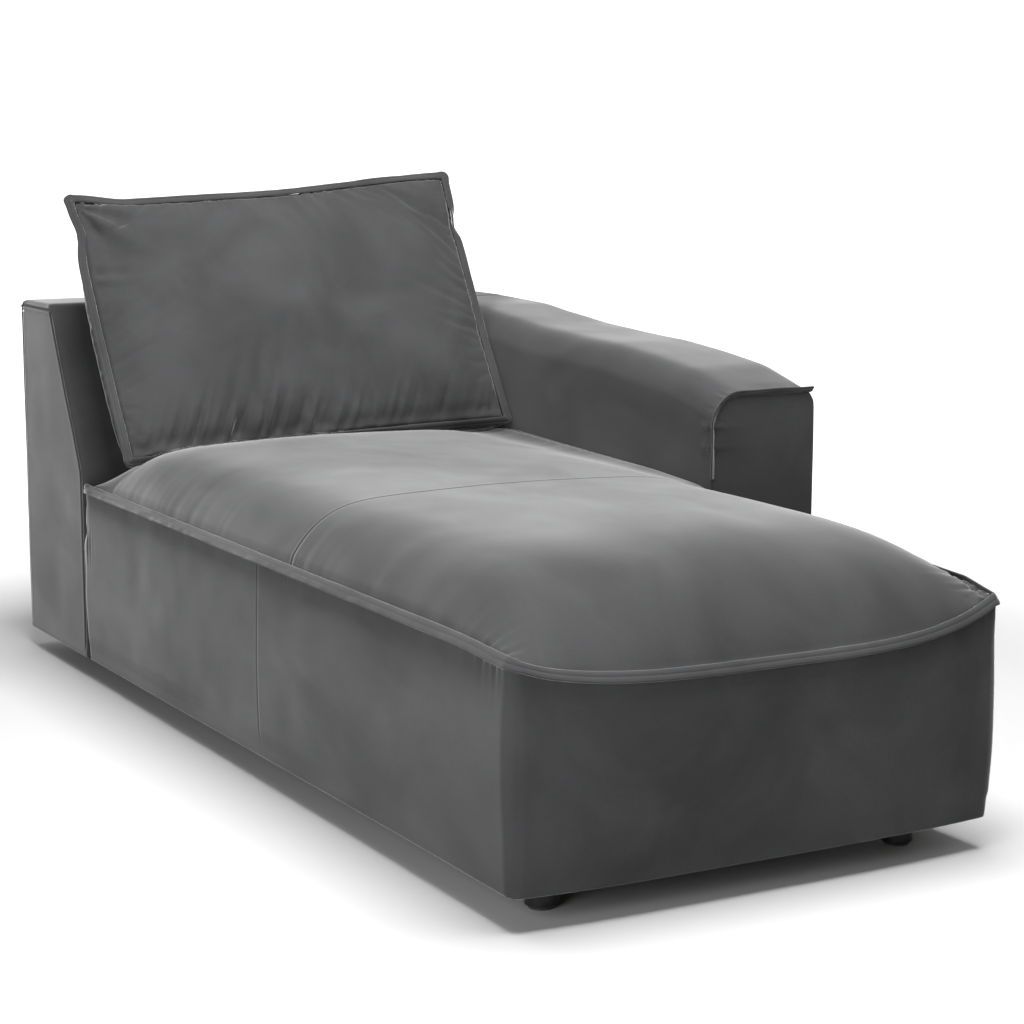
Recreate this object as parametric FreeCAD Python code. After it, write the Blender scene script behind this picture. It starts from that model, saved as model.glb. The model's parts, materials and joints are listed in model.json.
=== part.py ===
# One-armed upholstered daybed. Millimetres, +Z up, +X towards the arm, -Y towards the foot end.
# The origin is on the floor, under the centre of the whole daybed.
import FreeCAD
import Part
import math
import os

# Overall sizes
overall_width = 1000.0
overall_length = 2030.0
back_height = 697.0
seat_seam_height = 366.0
seat_crown_height = 470.0
floor_clearance = 48.0

# Upholstery
cover_thickness = 2.0
border_padding_thickness = 10.0
border_padding_rise = 10.0
wrap_foam_thickness = 16.0
module_gap = 1.0
piece_gap = 0.3
bottom_hem_width = 32.0
dust_cover_thickness = 1.4
flange_width = 7.0
flange_thickness = 4.0

# Seat
front_seam_dip = 53.0
front_bow = 15.0
seat_corner_radius = 16.0
front_dip_reach = 260.0
front_roll_reach = 480.0
rear_roll_reach = 300.0
seat_rail_height = 160.0
rail_thickness = 25.0
cross_rail_count = 3
cross_rail_width = 60.0
cross_rail_height = 45.0
corner_block_size = 92.0

# Springs
spring_count = 10
spring_wire_radius = 1.8
spring_loop_radius = 20.0
spring_straight = 16.0
spring_clip_length = 24.0
spring_clip_width = 18.0
spring_clip_wall = 1.4
spring_pad_thickness = 6.0

# Back
back_depth_base = 355.0
back_depth_top = 195.0
back_slope_start = 390.0
back_side_inset = 2.0
back_front_radius = 60.0
back_rear_radius = 45.0
back_post_count = 3
board_thickness = 18.0
panel_thickness = 4.0

# Arm
arm_width = 210.0
arm_length = 930.0
arm_front_height = 590.0
arm_shoulder_height = 617.0
arm_shoulder_from_front = 120.0
arm_middle_height = 650.0
arm_rear_height = 684.0
arm_inner_radius = 48.0
arm_outer_radius = 26.0

# Legs
leg_radius = 23.5
leg_inset_side = 94.0
leg_inset_front = 87.0
leg_inset_rear = 119.0
leg_chamfer = 2.0
glide_radius = 18.0
glide_thickness = 4.0
stud_radius = 4.0
stud_depth_in_leg = 28.0
stud_clearance = 0.15

# Connecting bolts
bolt_radius = 4.0
bolt_clearance = 0.5
bolt_head_radius = 8.0
bolt_head_height = 5.0
bolt_end_past_nut = 3.0
washer_radius = 11.0
washer_thickness = 1.6
nut_flange_radius = 11.0
nut_flange_thickness = 1.6
nut_barrel_radius = 6.5
nut_barrel_height = 8.0
connector_height = 132.0
connector_inset = 130.0

# Back cushion
cushion_width = 745.0
cushion_bottom_depth = 255.0
cushion_top_depth = 135.0
cushion_top_height = 936.0
cushion_seat_gap = 1.0
cushion_back_gap = 6.0
cushion_arm_gap = 13.0
cushion_front_radius = 24.0
cushion_rear_radius = 42.0
cushion_flange_width = 10.0

# Zip in the underside of the cushion
zip_length = 520.0
zip_tape_width = 24.0
zip_tape_thickness = 1.6
zip_from_rear = 44.0
slider_length = 11.0
slider_width = 9.0
slider_height = 4.0
slider_gap = 0.4
pull_length = 22.0
pull_width = 5.0
pull_thickness = 1.6
pull_eye_radius = 1.8
pull_pin_radius = 0.9

# Places worked out from the sizes above
left_x = -overall_width / 2
right_x = overall_width / 2
front_y = -overall_length / 2
rear_y = overall_length / 2
arm_inner_x = right_x - arm_width
back_front_y = rear_y - back_depth_base
arm_front_y = back_front_y - arm_length
seat_left_x = left_x + flange_width
seat_right_x = arm_inner_x - module_gap
seat_front_y = front_y + flange_width + front_bow
seat_rear_y = back_front_y - module_gap
seat_middle_x = (seat_left_x + seat_right_x) / 2
seat_half_width = (seat_right_x - seat_left_x) / 2
frame_bottom_z = floor_clearance + cover_thickness
rail_top_z = frame_bottom_z + seat_rail_height
spring_z = rail_top_z + spring_clip_wall + spring_wire_radius
spring_pad_z = rail_top_z + 2 * spring_clip_wall + 2 * spring_wire_radius
seat_foam_z = spring_pad_z + spring_pad_thickness
seat_rail_left_x = seat_left_x + cover_thickness + border_padding_thickness
seat_rail_right_x = seat_right_x - cover_thickness - border_padding_thickness
seat_rail_front_y = seat_front_y + cover_thickness + border_padding_thickness
seat_rail_rear_y = seat_rear_y - cover_thickness
bay_left_x = seat_rail_left_x + rail_thickness
bay_right_x = seat_rail_right_x - rail_thickness
bay_front_y = seat_rail_front_y + rail_thickness
bay_rear_y = seat_rail_rear_y - rail_thickness
wrap_inset = cover_thickness + wrap_foam_thickness
cushion_right_x = arm_inner_x - cushion_arm_gap
cushion_left_x = cushion_right_x - cushion_width
cushion_bottom_z = seat_crown_height + cushion_seat_gap
back_slope = (back_depth_base - back_depth_top) / (back_height - back_slope_start)


def vector(x, y, z):
    return FreeCAD.Vector(x, y, z)


def box(x0, x1, y0, y1, z0, z1):
    return Part.makeBox(x1 - x0, y1 - y0, z1 - z0, vector(x0, y0, z0))


def rod(x, y, z, radius, length, direction):
    return Part.makeCylinder(radius, length, vector(x, y, z), direction)


def along_x_edges(solid):
    """The straight edges that run along X."""
    found = []
    for edge in solid.Edges:
        ends = edge.Vertexes
        if len(ends) == 2:
            run = ends[1].Point - ends[0].Point
            if abs(run.x) > 1 and abs(run.y) + abs(run.z) < 0.001:
                found.append(edge)
    return found


def upright_edges(solid, y_limit):
    """The upright edges in front of y_limit."""
    found = []
    for edge in solid.Edges:
        ends = edge.Vertexes
        if len(ends) == 2 and ends[0].Point.y < y_limit:
            run = ends[1].Point - ends[0].Point
            if abs(run.z) > 1 and abs(run.x) + abs(run.y) < 0.001:
                found.append(edge)
    return found


def save(name, shape):
    shape.exportStep("parts/" + name + ".step")
    print(name, len(shape.Solids), "solids", round(shape.Volume / 1000, 1), "cm3", shape.isValid())


def group(pieces):
    return Part.makeCompound(pieces)


# ---------------------------------------------------------------- connecting bolts

def bolt_lines():
    """Start point on the seat rail, direction and clamped length of every connecting bolt."""
    lines = []
    arm_span = bay_rear_y - arm_front_y
    across = arm_inner_x + wrap_inset + rail_thickness - bay_right_x
    for share in (0.15, 0.5, 0.85):
        start = vector(bay_right_x, arm_front_y + share * arm_span, connector_height)
        lines.append((start, vector(1, 0, 0), across))
    along = back_front_y + wrap_inset + rail_thickness - bay_rear_y
    for x in (bay_left_x + connector_inset, seat_middle_x, bay_right_x - connector_inset):
        lines.append((vector(x, bay_rear_y, connector_height), vector(0, 1, 0), along))
    return lines


def drilled(shape):
    """The shape with a clearance hole for each connecting bolt that crosses it."""
    for start, direction, length in bolt_lines():
        hole = Part.makeCylinder(bolt_radius + bolt_clearance, length, start, direction)
        if shape.BoundBox.intersect(hole.BoundBox):
            shape = shape.cut(hole)
    return shape


def connectors():
    bolts = []
    washers = []
    nuts = []
    for start, direction, length in bolt_lines():
        under_head = start - direction * washer_thickness
        head = Part.makeCylinder(bolt_head_radius, bolt_head_height, under_head, direction * -1)
        shank_length = washer_thickness + length + nut_barrel_height + bolt_end_past_nut
        shank = Part.makeCylinder(bolt_radius, shank_length, under_head, direction)
        bolts.append(head.fuse(shank))
        washer = Part.makeCylinder(washer_radius, washer_thickness, under_head, direction)
        washer_hole = Part.makeCylinder(bolt_radius + bolt_clearance, washer_thickness, under_head, direction)
        washers.append(washer.cut(washer_hole))
        seat_point = start + direction * length
        flange = Part.makeCylinder(nut_flange_radius, nut_flange_thickness, seat_point, direction)
        barrel = Part.makeCylinder(nut_barrel_radius, nut_barrel_height, seat_point, direction)
        bore = Part.makeCylinder(bolt_radius + stud_clearance, nut_barrel_height, seat_point, direction)
        nuts.append(flange.fuse(barrel).cut(bore))
    save("connector_bolts", group(bolts))
    save("connector_washers", group(washers))
    save("connector_tee_nuts", group(nuts))


# ---------------------------------------------------------------- seat

def front_fade(y, reach):
    """1 at the front seam, falling to 0 at reach behind it."""
    depth = max(0.0, y - seat_front_y)
    return max(0.0, 1 - depth / reach)


def seam_height(x, y):
    """Height of the top panel's seam, which dips in a smile across the front."""
    share = min(1.0, abs(x - seat_middle_x) / seat_half_width)
    dip = front_seam_dip * (1 - share ** 2.5)
    return seat_seam_height - dip * front_fade(y, front_dip_reach) ** 2


def seat_height(x, y):
    """Height of the crowned top panel."""
    share = min(1.0, abs(x - seat_middle_x) / seat_half_width)
    rear_depth = max(0.0, seat_rear_y - y)
    rear_share = max(0.0, 1 - rear_depth / rear_roll_reach)
    fullness = (1 - front_fade(y, front_roll_reach) ** 3) * (1 - rear_share ** 2.5)
    middle = seam_height(seat_middle_x, y)
    crown = (seat_crown_height - middle) * fullness
    return seam_height(x, y) + crown * (1 - share ** 2.8)


def surface(height_of, margin, across, along):
    """A smooth face through the heights that height_of gives over the seat's plan."""
    x0 = seat_left_x - margin
    x1 = seat_right_x + margin
    y0 = front_y - margin
    y1 = seat_rear_y + margin
    rows = []
    for i in range(across + 1):
        x = x0 + (x1 - x0) * i / across
        row = []
        for j in range(along + 1):
            y = y0 + (y1 - y0) * j / along
            row.append(vector(x, y, height_of(x, y)))
        rows.append(row)
    sheet = Part.BSplineSurface()
    sheet.interpolate(rows)
    return sheet.toShape()


def seat_plan(outset, bottom_z, top_z):
    """Upright prism of the seat's plan, grown by outset, with a bowed front and round front corners."""
    x0 = seat_left_x - outset
    x1 = seat_right_x + outset
    y0 = seat_front_y - outset
    y1 = seat_rear_y + min(outset, 0)
    left = vector(x0, y0, bottom_z)
    right = vector(x1, y0, bottom_z)
    front = Part.Arc(left, vector((x0 + x1) / 2, y0 - front_bow, bottom_z), right).toShape()
    sides = Part.makePolygon([right, vector(x1, y1, bottom_z), vector(x0, y1, bottom_z), left])
    face = Part.Face(Part.Wire([front] + sides.Edges))
    prism = face.extrude(vector(0, 0, top_z - bottom_z))
    return prism.makeFillet(max(2.0, seat_corner_radius + outset), upright_edges(prism, y0 + 1))


def seat_solid(inset, bottom_z):
    """Everything inside the seat's skin, moved in by inset, from bottom_z up."""
    under_top = surface(seat_height, 40, 18, 40).extrude(vector(0, 0, -2 * seat_crown_height))
    under_top.translate(vector(0, 0, -inset))
    return seat_plan(-inset, bottom_z, 2 * seat_crown_height).common(under_top)


def make_seat_cover():
    outer = seat_solid(0, floor_clearance)
    inner = seat_solid(cover_thickness, frame_bottom_z)
    mouth = seat_plan(-bottom_hem_width, floor_clearance, frame_bottom_z)
    save("seat_cover", drilled(outer.cut(inner).cut(mouth)))


def make_seat_flange():
    slab = surface(seam_height, 40, 18, 40).extrude(vector(0, 0, -flange_thickness))
    outer = seat_plan(flange_width, 0, seat_crown_height)
    inner = seat_plan(0, 0, seat_crown_height)
    ring = outer.cut(inner).common(slab)
    beside_arm = box(seat_right_x, right_x, arm_front_y - piece_gap, rear_y, 0, seat_crown_height)
    save("seat_flange", ring.cut(beside_arm))


def make_seat_foam():
    foam = seat_solid(cover_thickness, seat_foam_z)
    save("seat_foam", foam)


def make_border_padding():
    ring_outer = seat_plan(-cover_thickness, frame_bottom_z + border_padding_rise, seat_foam_z)
    sides = {
        "left": box(seat_left_x, seat_rail_left_x, seat_rail_front_y, seat_rear_y, 0, seat_foam_z),
        "right": box(seat_rail_right_x, seat_right_x, seat_rail_front_y, seat_rear_y, 0, seat_foam_z),
        "front": box(seat_left_x, seat_right_x, front_y, seat_rail_front_y, 0, seat_foam_z),
    }
    for side in sides:
        save("border_padding_" + side, drilled(ring_outer.common(sides[side])))


def make_seat_rails():
    x0 = seat_rail_left_x
    x1 = seat_rail_right_x
    y0 = seat_rail_front_y
    y1 = seat_rail_rear_y
    z0 = frame_bottom_z
    z1 = rail_top_z
    save("seat_rail_left", box(x0, bay_left_x, y0, y1, z0, z1))
    save("seat_rail_right", drilled(box(bay_right_x, x1, y0, y1, z0, z1)))
    save("seat_rail_front", box(bay_left_x, bay_right_x, y0, bay_front_y, z0, z1))
    save("seat_rail_rear", drilled(box(bay_left_x, bay_right_x, bay_rear_y, y1, z0, z1)))


def cross_rail_ys():
    bay = bay_rear_y - bay_front_y
    return [bay_front_y + bay * (n + 1) / (cross_rail_count + 1) for n in range(cross_rail_count)]


def make_cross_rails():
    rails = []
    half = cross_rail_width / 2
    for y in cross_rail_ys():
        top_z = frame_bottom_z + cross_rail_height
        rails.append(box(bay_left_x, bay_right_x, y - half, y + half, frame_bottom_z, top_z))
    save("seat_cross_rails", stud_drilled(group(rails)))


def make_corner_blocks():
    blocks = []
    for x0, x1 in ((bay_left_x, bay_left_x + corner_block_size), (bay_right_x - corner_block_size, bay_right_x)):
        for y0, y1 in ((bay_front_y, bay_front_y + corner_block_size), (bay_rear_y - corner_block_size, bay_rear_y)):
            blocks.append(box(x0, x1, y0, y1, frame_bottom_z, frame_bottom_z + cross_rail_height))
    save("seat_corner_blocks", stud_drilled(group(blocks)))


def spring_ys():
    pitch = (bay_rear_y - bay_front_y) / spring_count
    return [bay_front_y + pitch * (n + 0.5) for n in range(spring_count)]


def spring_path(y):
    """Flat zigzag between the side rails, with half-circle turns joined by short straights."""
    x0 = bay_left_x - spring_clip_length / 2
    x1 = bay_right_x + spring_clip_length / 2
    turns = int((x1 - x0 - 2 * spring_clip_length) / (2 * spring_loop_radius))
    zigzag = turns * 2 * spring_loop_radius
    tail = (x1 - x0 - zigzag) / 2
    half = spring_straight / 2
    edges = [Part.LineSegment(vector(x0, y, spring_z), vector(x0 + tail - half, y, spring_z)).toShape()]
    x = x0 + tail
    bend = Part.Arc(
        vector(x - half, y, spring_z),
        vector(x - half + half * math.sin(math.pi / 4), y + half - half * math.cos(math.pi / 4), spring_z),
        vector(x, y + half, spring_z),
    )
    edges.append(bend.toShape())
    side = 1
    for turn in range(turns):
        start = vector(x, y + side * half, spring_z)
        top = vector(x + spring_loop_radius, y + side * (half + spring_loop_radius), spring_z)
        end = vector(x + 2 * spring_loop_radius, y + side * half, spring_z)
        edges.append(Part.Arc(start, top, end).toShape())
        x = x + 2 * spring_loop_radius
        if turn < turns - 1:
            edges.append(Part.LineSegment(end, vector(x, y - side * half, spring_z)).toShape())
            side = -side
    bend = Part.Arc(
        vector(x, y + side * half, spring_z),
        vector(x + half - half * math.sin(math.pi / 4), y + side * (half - half * math.cos(math.pi / 4)), spring_z),
        vector(x + half, y, spring_z),
    )
    edges.append(bend.toShape())
    edges.append(Part.LineSegment(vector(x + half, y, spring_z), vector(x1, y, spring_z)).toShape())
    return Part.Wire(edges)


def make_springs():
    springs = []
    clips = []
    for y in spring_ys():
        path = spring_path(y)
        start = path.OrderedVertexes[0].Point
        section = Part.Wire([Part.makeCircle(spring_wire_radius, start, vector(1, 0, 0))])
        springs.append(path.makePipeShell([section], True, False))
        for x, inward in ((bay_left_x, -1), (bay_right_x, 1)):
            clips.append(spring_clip(x, y, inward))
    save("seat_springs", group(springs))
    save("spring_clips", group(clips))


def spring_clip(x, y, inward):
    """Folded steel strip that wraps the end of a spring on top of a rail."""
    x0 = min(x, x + inward * spring_clip_length)
    x1 = max(x, x + inward * spring_clip_length)
    half = spring_clip_width / 2
    outer = box(x0, x1, y - half, y + half, rail_top_z, spring_pad_z)
    hollow = box(
        x0 - 1,
        x1 + 1,
        y - half + spring_clip_wall,
        y + half + 1,
        rail_top_z + spring_clip_wall,
        spring_pad_z - spring_clip_wall,
    )
    return outer.cut(hollow)


def make_spring_pad():
    x0 = seat_rail_left_x
    x1 = seat_rail_right_x
    pad = box(x0, x1, seat_rail_front_y, seat_rail_rear_y, spring_pad_z, seat_foam_z)
    save("spring_pad", pad)


def make_seat_dust_cover():
    sheet = seat_plan(-bottom_hem_width - piece_gap, frame_bottom_z - dust_cover_thickness, frame_bottom_z)
    save("seat_dust_cover", leg_holes(sheet))


# ---------------------------------------------------------------- back

def back_solid(inset, bottom_z, x0, x1):
    """Wedge-shaped back between x0 and x1, its outline moved in by inset."""
    lean = math.sqrt(1 + back_slope ** 2)
    front = back_front_y + inset
    rear = rear_y - inset
    top = back_height - inset
    slope_start = back_slope_start + inset * (lean - 1) / back_slope
    top_front = front + back_slope * (top - slope_start)
    outline = [
        vector(x0, front, bottom_z),
        vector(x0, front, slope_start),
        vector(x0, top_front, top),
        vector(x0, rear, top),
        vector(x0, rear, bottom_z),
        vector(x0, front, bottom_z),
    ]
    solid = Part.Face(Part.makePolygon(outline)).extrude(vector(x1 - x0, 0, 0))
    for edge in along_x_edges(solid):
        place = edge.Vertexes[0].Point
        if place.z > top - 1 and place.y < rear - 1:
            solid = solid.makeFillet(max(2.0, back_front_radius - inset), [edge])
            break
    for edge in along_x_edges(solid):
        place = edge.Vertexes[0].Point
        if place.z > top - 1 and place.y > rear - 1:
            solid = solid.makeFillet(max(2.0, back_rear_radius - inset), [edge])
            break
    return solid


def back_left_x():
    return seat_left_x - back_side_inset


def back_shell(outer_inset, inner_inset):
    outer = back_solid(outer_inset, frame_bottom_z, back_left_x() + outer_inset, right_x - outer_inset)
    inner = back_solid(inner_inset, frame_bottom_z, back_left_x() + inner_inset, right_x - inner_inset)
    return drilled(outer.cut(inner))


def hem(solid, x0, x1, y0, y1):
    """The part of a cover that turns in under the frame, around an open middle."""
    slice_box = box(x0, x1, y0, y1, floor_clearance, frame_bottom_z)
    w = bottom_hem_width
    middle = box(x0 + w, x1 - w, y0 + w, y1 - w, floor_clearance, frame_bottom_z)
    return solid.common(slice_box).cut(middle)


def make_back_skin():
    x0 = back_left_x()
    full = back_solid(0, floor_clearance, x0, right_x)
    save("back_cover", back_shell(0, cover_thickness).fuse(hem(full, x0, right_x, back_front_y, rear_y)))
    save("back_foam", back_shell(cover_thickness, wrap_inset))
    w = bottom_hem_width + piece_gap
    z0 = frame_bottom_z - dust_cover_thickness
    sheet = box(x0 + w, right_x - w, back_front_y + w, rear_y - w, z0, frame_bottom_z)
    save("back_dust_cover", leg_holes(sheet))


def make_back_frame():
    """End frames, boards, panels and posts inside the back's foam."""
    x0 = back_left_x() + wrap_inset
    x1 = right_x - wrap_inset
    y0 = back_front_y + wrap_inset
    y1 = rear_y - wrap_inset
    z0 = frame_bottom_z
    core = back_solid(wrap_inset, z0, x0, x1)
    save("back_end_left", core.common(box(x0, x0 + board_thickness, y0, y1, z0, back_height)))
    save("back_end_right", core.common(box(x1 - board_thickness, x1, y0, y1, z0, back_height)))
    inner_x0 = x0 + board_thickness
    inner_x1 = x1 - board_thickness
    rail_z = z0 + seat_rail_height
    save("back_rail_front", drilled(box(inner_x0, inner_x1, y0, y0 + rail_thickness, z0, rail_z)))
    save("back_rail_rear", box(inner_x0, inner_x1, y1 - rail_thickness, y1, z0, rail_z))
    bay = box(inner_x0, inner_x1, y0, y1, rail_z, back_height)
    skin = wrap_inset + panel_thickness
    lining = back_solid(skin, z0, inner_x0, inner_x1)
    top_z = back_height - wrap_inset - board_thickness
    panels = core.common(bay).cut(lining)
    below_top = box(inner_x0, inner_x1, y0, y1, z0, top_z)
    halfway_y = (back_front_y + back_depth_base - back_depth_top + rear_y) / 2
    save("back_front_panel", panels.common(below_top).common(box(x0, x1, y0, halfway_y, z0, top_z)))
    save("back_rear_panel", panels.common(below_top).common(box(x0, x1, halfway_y, y1, z0, top_z)))
    save("back_top_board", core.common(bay).cut(below_top))
    posts = []
    for n in range(back_post_count):
        x = inner_x0 + (inner_x1 - inner_x0) * (n + 1) / (back_post_count + 1)
        post = lining.common(box(x - board_thickness / 2, x + board_thickness / 2, y0, y1, rail_z, top_z))
        posts.append(post)
    save("back_posts", group(posts))


def make_back_leg_boards():
    boards = []
    y0 = back_front_y + wrap_inset + rail_thickness
    y1 = rear_y - wrap_inset - rail_thickness
    half = corner_block_size / 2
    for name in ("rear_left", "rear_right"):
        x = leg_places()[name][0]
        boards.append(box(x - half, x + half, y0, y1, frame_bottom_z, frame_bottom_z + cross_rail_height))
    save("back_leg_boards", stud_drilled(group(boards)))


# ---------------------------------------------------------------- arm

def arm_solid(inset, bottom_z):
    """The arm with its rising top and rounded shoulders, its outline moved in by inset."""
    x0 = arm_inner_x + inset
    x1 = right_x - inset
    front = arm_front_y + inset
    lean = math.sqrt(1 + back_slope ** 2)
    rear = back_front_y - module_gap - inset
    slope_start = back_slope_start - (module_gap + inset) * (lean - 1) / back_slope
    top = arm_rear_height - inset
    top_rear = rear + back_slope * (top - slope_start)
    shoulder = front + arm_shoulder_from_front
    middle = (shoulder + top_rear) / 2
    crest = Part.BSplineCurve()
    crest.interpolate([
        vector(x0, front, arm_front_height - inset),
        vector(x0, shoulder, arm_shoulder_height - inset),
        vector(x0, middle, arm_middle_height - inset),
        vector(x0, top_rear, top),
    ])
    sides = Part.makePolygon([
        vector(x0, top_rear, top),
        vector(x0, rear, slope_start),
        vector(x0, rear, bottom_z),
        vector(x0, front, bottom_z),
        vector(x0, front, arm_front_height - inset),
    ])
    face = Part.Face(Part.Wire([crest.toShape()] + sides.Edges))
    solid = face.extrude(vector(x1 - x0, 0, 0))
    for side_x, radius in ((x0, arm_inner_radius), (x1, arm_outer_radius)):
        for edge in solid.Edges:
            middle_point = edge.valueAt((edge.FirstParameter + edge.LastParameter) / 2)
            on_top = middle_point.z > arm_shoulder_height - inset - 1 and abs(middle_point.x - side_x) < 0.01
            if on_top and edge.BoundBox.YLength > arm_length / 2:
                solid = solid.makeFillet(max(2.0, radius - inset), [edge])
                break
    return solid


def make_arm_skin():
    outer = arm_solid(0, frame_bottom_z)
    under_cover = arm_solid(cover_thickness, frame_bottom_z)
    core = arm_solid(wrap_inset, frame_bottom_z)
    full = arm_solid(0, floor_clearance)
    rear = back_front_y - module_gap
    cover = drilled(outer.cut(under_cover)).fuse(hem(full, arm_inner_x, right_x, arm_front_y, rear))
    save("arm_cover", cover)
    save("arm_foam", drilled(under_cover.cut(core)))
    w = bottom_hem_width + piece_gap
    z0 = frame_bottom_z - dust_cover_thickness
    sheet = box(arm_inner_x + w, right_x - w, arm_front_y + w, rear - w, z0, frame_bottom_z)
    save("arm_dust_cover", leg_holes(sheet))


def make_arm_flange():
    """Flat flange up the inner edge of the arm's front, round the shoulder and along the top."""
    slab = box(arm_inner_x - flange_width, right_x, arm_front_y, arm_front_y + flange_thickness, 0, back_height)
    arm = arm_solid(0, floor_clearance)
    section = arm.common(box(arm_inner_x, right_x, arm_front_y, arm_front_y + flange_thickness, 0, back_height))
    grown_x0 = arm_inner_x - flange_width
    grown = box(grown_x0, right_x, arm_front_y, arm_front_y + flange_thickness, 0, arm_front_height + flange_width)
    corner = []
    for edge in grown.Edges:
        place = edge.CenterOfMass
        if abs(place.x - grown_x0) < 0.01 and abs(place.z - arm_front_height - flange_width) < 0.01:
            corner.append(edge)
    grown = grown.makeFillet(arm_inner_radius + flange_width, corner)
    above_seat = box(grown_x0, right_x, front_y, rear_y, seat_crown_height + cushion_seat_gap, back_height)
    save("arm_flange", grown.common(slab).cut(section).common(above_seat).Solids[0])


def make_arm_frame():
    core = arm_solid(wrap_inset, frame_bottom_z)
    x0 = arm_inner_x + wrap_inset
    x1 = right_x - wrap_inset
    y0 = arm_front_y + wrap_inset
    y1 = back_front_y - module_gap - wrap_inset
    z0 = frame_bottom_z
    top = back_height
    front_board = box(x0, x1, y0, y0 + board_thickness, z0, top)
    rear_board = box(x0, x1, y1 - board_thickness, y1, z0, top)
    save("arm_front_board", core.common(front_board))
    save("arm_rear_board", core.common(rear_board))
    inner_y0 = y0 + board_thickness
    inner_y1 = y1 - board_thickness
    bay = core.common(box(x0, x1, inner_y0, inner_y1, z0, top))
    lowered = core.copy()
    lowered.translate(vector(0, 0, -board_thickness))
    save("arm_top_board", bay.cut(lowered.common(box(x0, x1, inner_y0, inner_y1, 0, top))))
    rail_z = z0 + seat_rail_height
    save("arm_rail_inner", drilled(box(x0, x0 + rail_thickness, inner_y0, inner_y1, z0, rail_z)))
    save("arm_rail_outer", box(x1 - rail_thickness, x1, inner_y0, inner_y1, z0, rail_z))
    hollow = bay.common(lowered)
    above_rails = box(x0, x1, inner_y0, inner_y1, rail_z, top)
    inner_strip = box(x0, x0 + panel_thickness, inner_y0, inner_y1, rail_z, top)
    outer_strip = box(x1 - panel_thickness, x1, inner_y0, inner_y1, rail_z, top)
    save("arm_inner_panel", hollow.common(above_rails).common(inner_strip))
    save("arm_outer_panel", hollow.common(above_rails).common(outer_strip))
    leg_y = leg_places()["arm_front"][1]
    half = corner_block_size / 2
    block_top = z0 + cross_rail_height
    block = box(x0 + rail_thickness, x1 - rail_thickness, leg_y - half, leg_y + half, z0, block_top)
    save("arm_leg_block", stud_drilled(block))


# ---------------------------------------------------------------- legs

def leg_places():
    left = seat_left_x + leg_inset_side
    front = seat_front_y + leg_inset_front
    rear = rear_y - leg_inset_rear
    return {
        "front_left": (left, front),
        "front_right": (seat_right_x - leg_inset_side, front),
        "rear_left": (left, rear),
        "rear_right": (right_x - leg_inset_side, rear),
        "arm_front": ((arm_inner_x + right_x) / 2, arm_front_y + leg_inset_front),
        "centre": (seat_middle_x, cross_rail_ys()[cross_rail_count // 2]),
    }


def leg_holes(sheet):
    """The sheet with a round hole for each leg."""
    for x, y in leg_places().values():
        hole = rod(x, y, 0, leg_radius + bolt_clearance, frame_bottom_z * 2, vector(0, 0, 1))
        if sheet.BoundBox.intersect(hole.BoundBox):
            sheet = sheet.cut(hole)
    return sheet


def stud_drilled(shape):
    """The blocks with a bore for each leg's stud."""
    for x, y in leg_places().values():
        bore = rod(x, y, 0, stud_radius + stud_clearance, rail_top_z, vector(0, 0, 1))
        shape = shape.cut(bore)
    return shape


def make_legs():
    studs = []
    nuts = []
    glides = []
    up = vector(0, 0, 1)
    stud_z = frame_bottom_z - stud_depth_in_leg
    block_top = frame_bottom_z + cross_rail_height
    for name, (x, y) in leg_places().items():
        leg = rod(x, y, glide_thickness, leg_radius, frame_bottom_z - glide_thickness, up)
        foot_edges = [edge for edge in leg.Edges if edge.BoundBox.ZMax < glide_thickness + 0.01]
        leg = leg.makeChamfer(leg_chamfer, foot_edges)
        socket = rod(x, y, stud_z, stud_radius + stud_clearance, stud_depth_in_leg, up)
        save("leg_" + name, leg.cut(socket))
        stud_length = block_top + nut_barrel_height + bolt_end_past_nut - stud_z
        studs.append(rod(x, y, stud_z, stud_radius, stud_length, up))
        flange = rod(x, y, block_top, nut_flange_radius, nut_flange_thickness, up)
        barrel = rod(x, y, block_top, nut_barrel_radius, nut_barrel_height, up)
        bore = rod(x, y, block_top, stud_radius + stud_clearance, nut_barrel_height, up)
        nuts.append(flange.fuse(barrel).cut(bore))
        glides.append(rod(x, y, 0, glide_radius, glide_thickness, up))
    save("leg_studs", group(studs))
    save("leg_tee_nuts", group(nuts))
    save("leg_glides", group(glides))


# ---------------------------------------------------------------- cushion

def cushion_corners(inset):
    """Corners of the cushion's side outline as (y, z), moved in by inset: bottom front, bottom rear, top rear,
    top front."""
    bottom = cushion_bottom_z
    rise = cushion_top_height - bottom
    back_face = back_front_y + back_slope * (bottom - back_slope_start)
    rear_bottom = back_face - cushion_back_gap * math.sqrt(1 + back_slope ** 2)
    rear_top = rear_bottom + back_slope * rise
    corners = [
        (rear_bottom - cushion_bottom_depth, bottom),
        (rear_bottom, bottom),
        (rear_top, cushion_top_height),
        (rear_top - cushion_top_depth, cushion_top_height),
    ]
    return inset_outline(corners, inset)


def inset_outline(corners, inset):
    """A convex outline, listed anticlockwise, with every side moved in by inset."""
    moved = []
    count = len(corners)
    for n in range(count):
        before = corners[n - 1]
        here = corners[n]
        after = corners[(n + 1) % count]
        first = (here[0] - before[0], here[1] - before[1])
        second = (after[0] - here[0], after[1] - here[1])
        first_length = math.hypot(first[0], first[1])
        second_length = math.hypot(second[0], second[1])
        first = (first[0] / first_length, first[1] / first_length)
        second = (second[0] / second_length, second[1] / second_length)
        turn = first[0] * second[1] - first[1] * second[0]
        along = inset * (1 - (first[0] * second[0] + first[1] * second[1])) / turn
        y = here[0] - first[1] * inset - first[0] * along
        z = here[1] + first[0] * inset - first[1] * along
        moved.append((y, z))
    return moved


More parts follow.
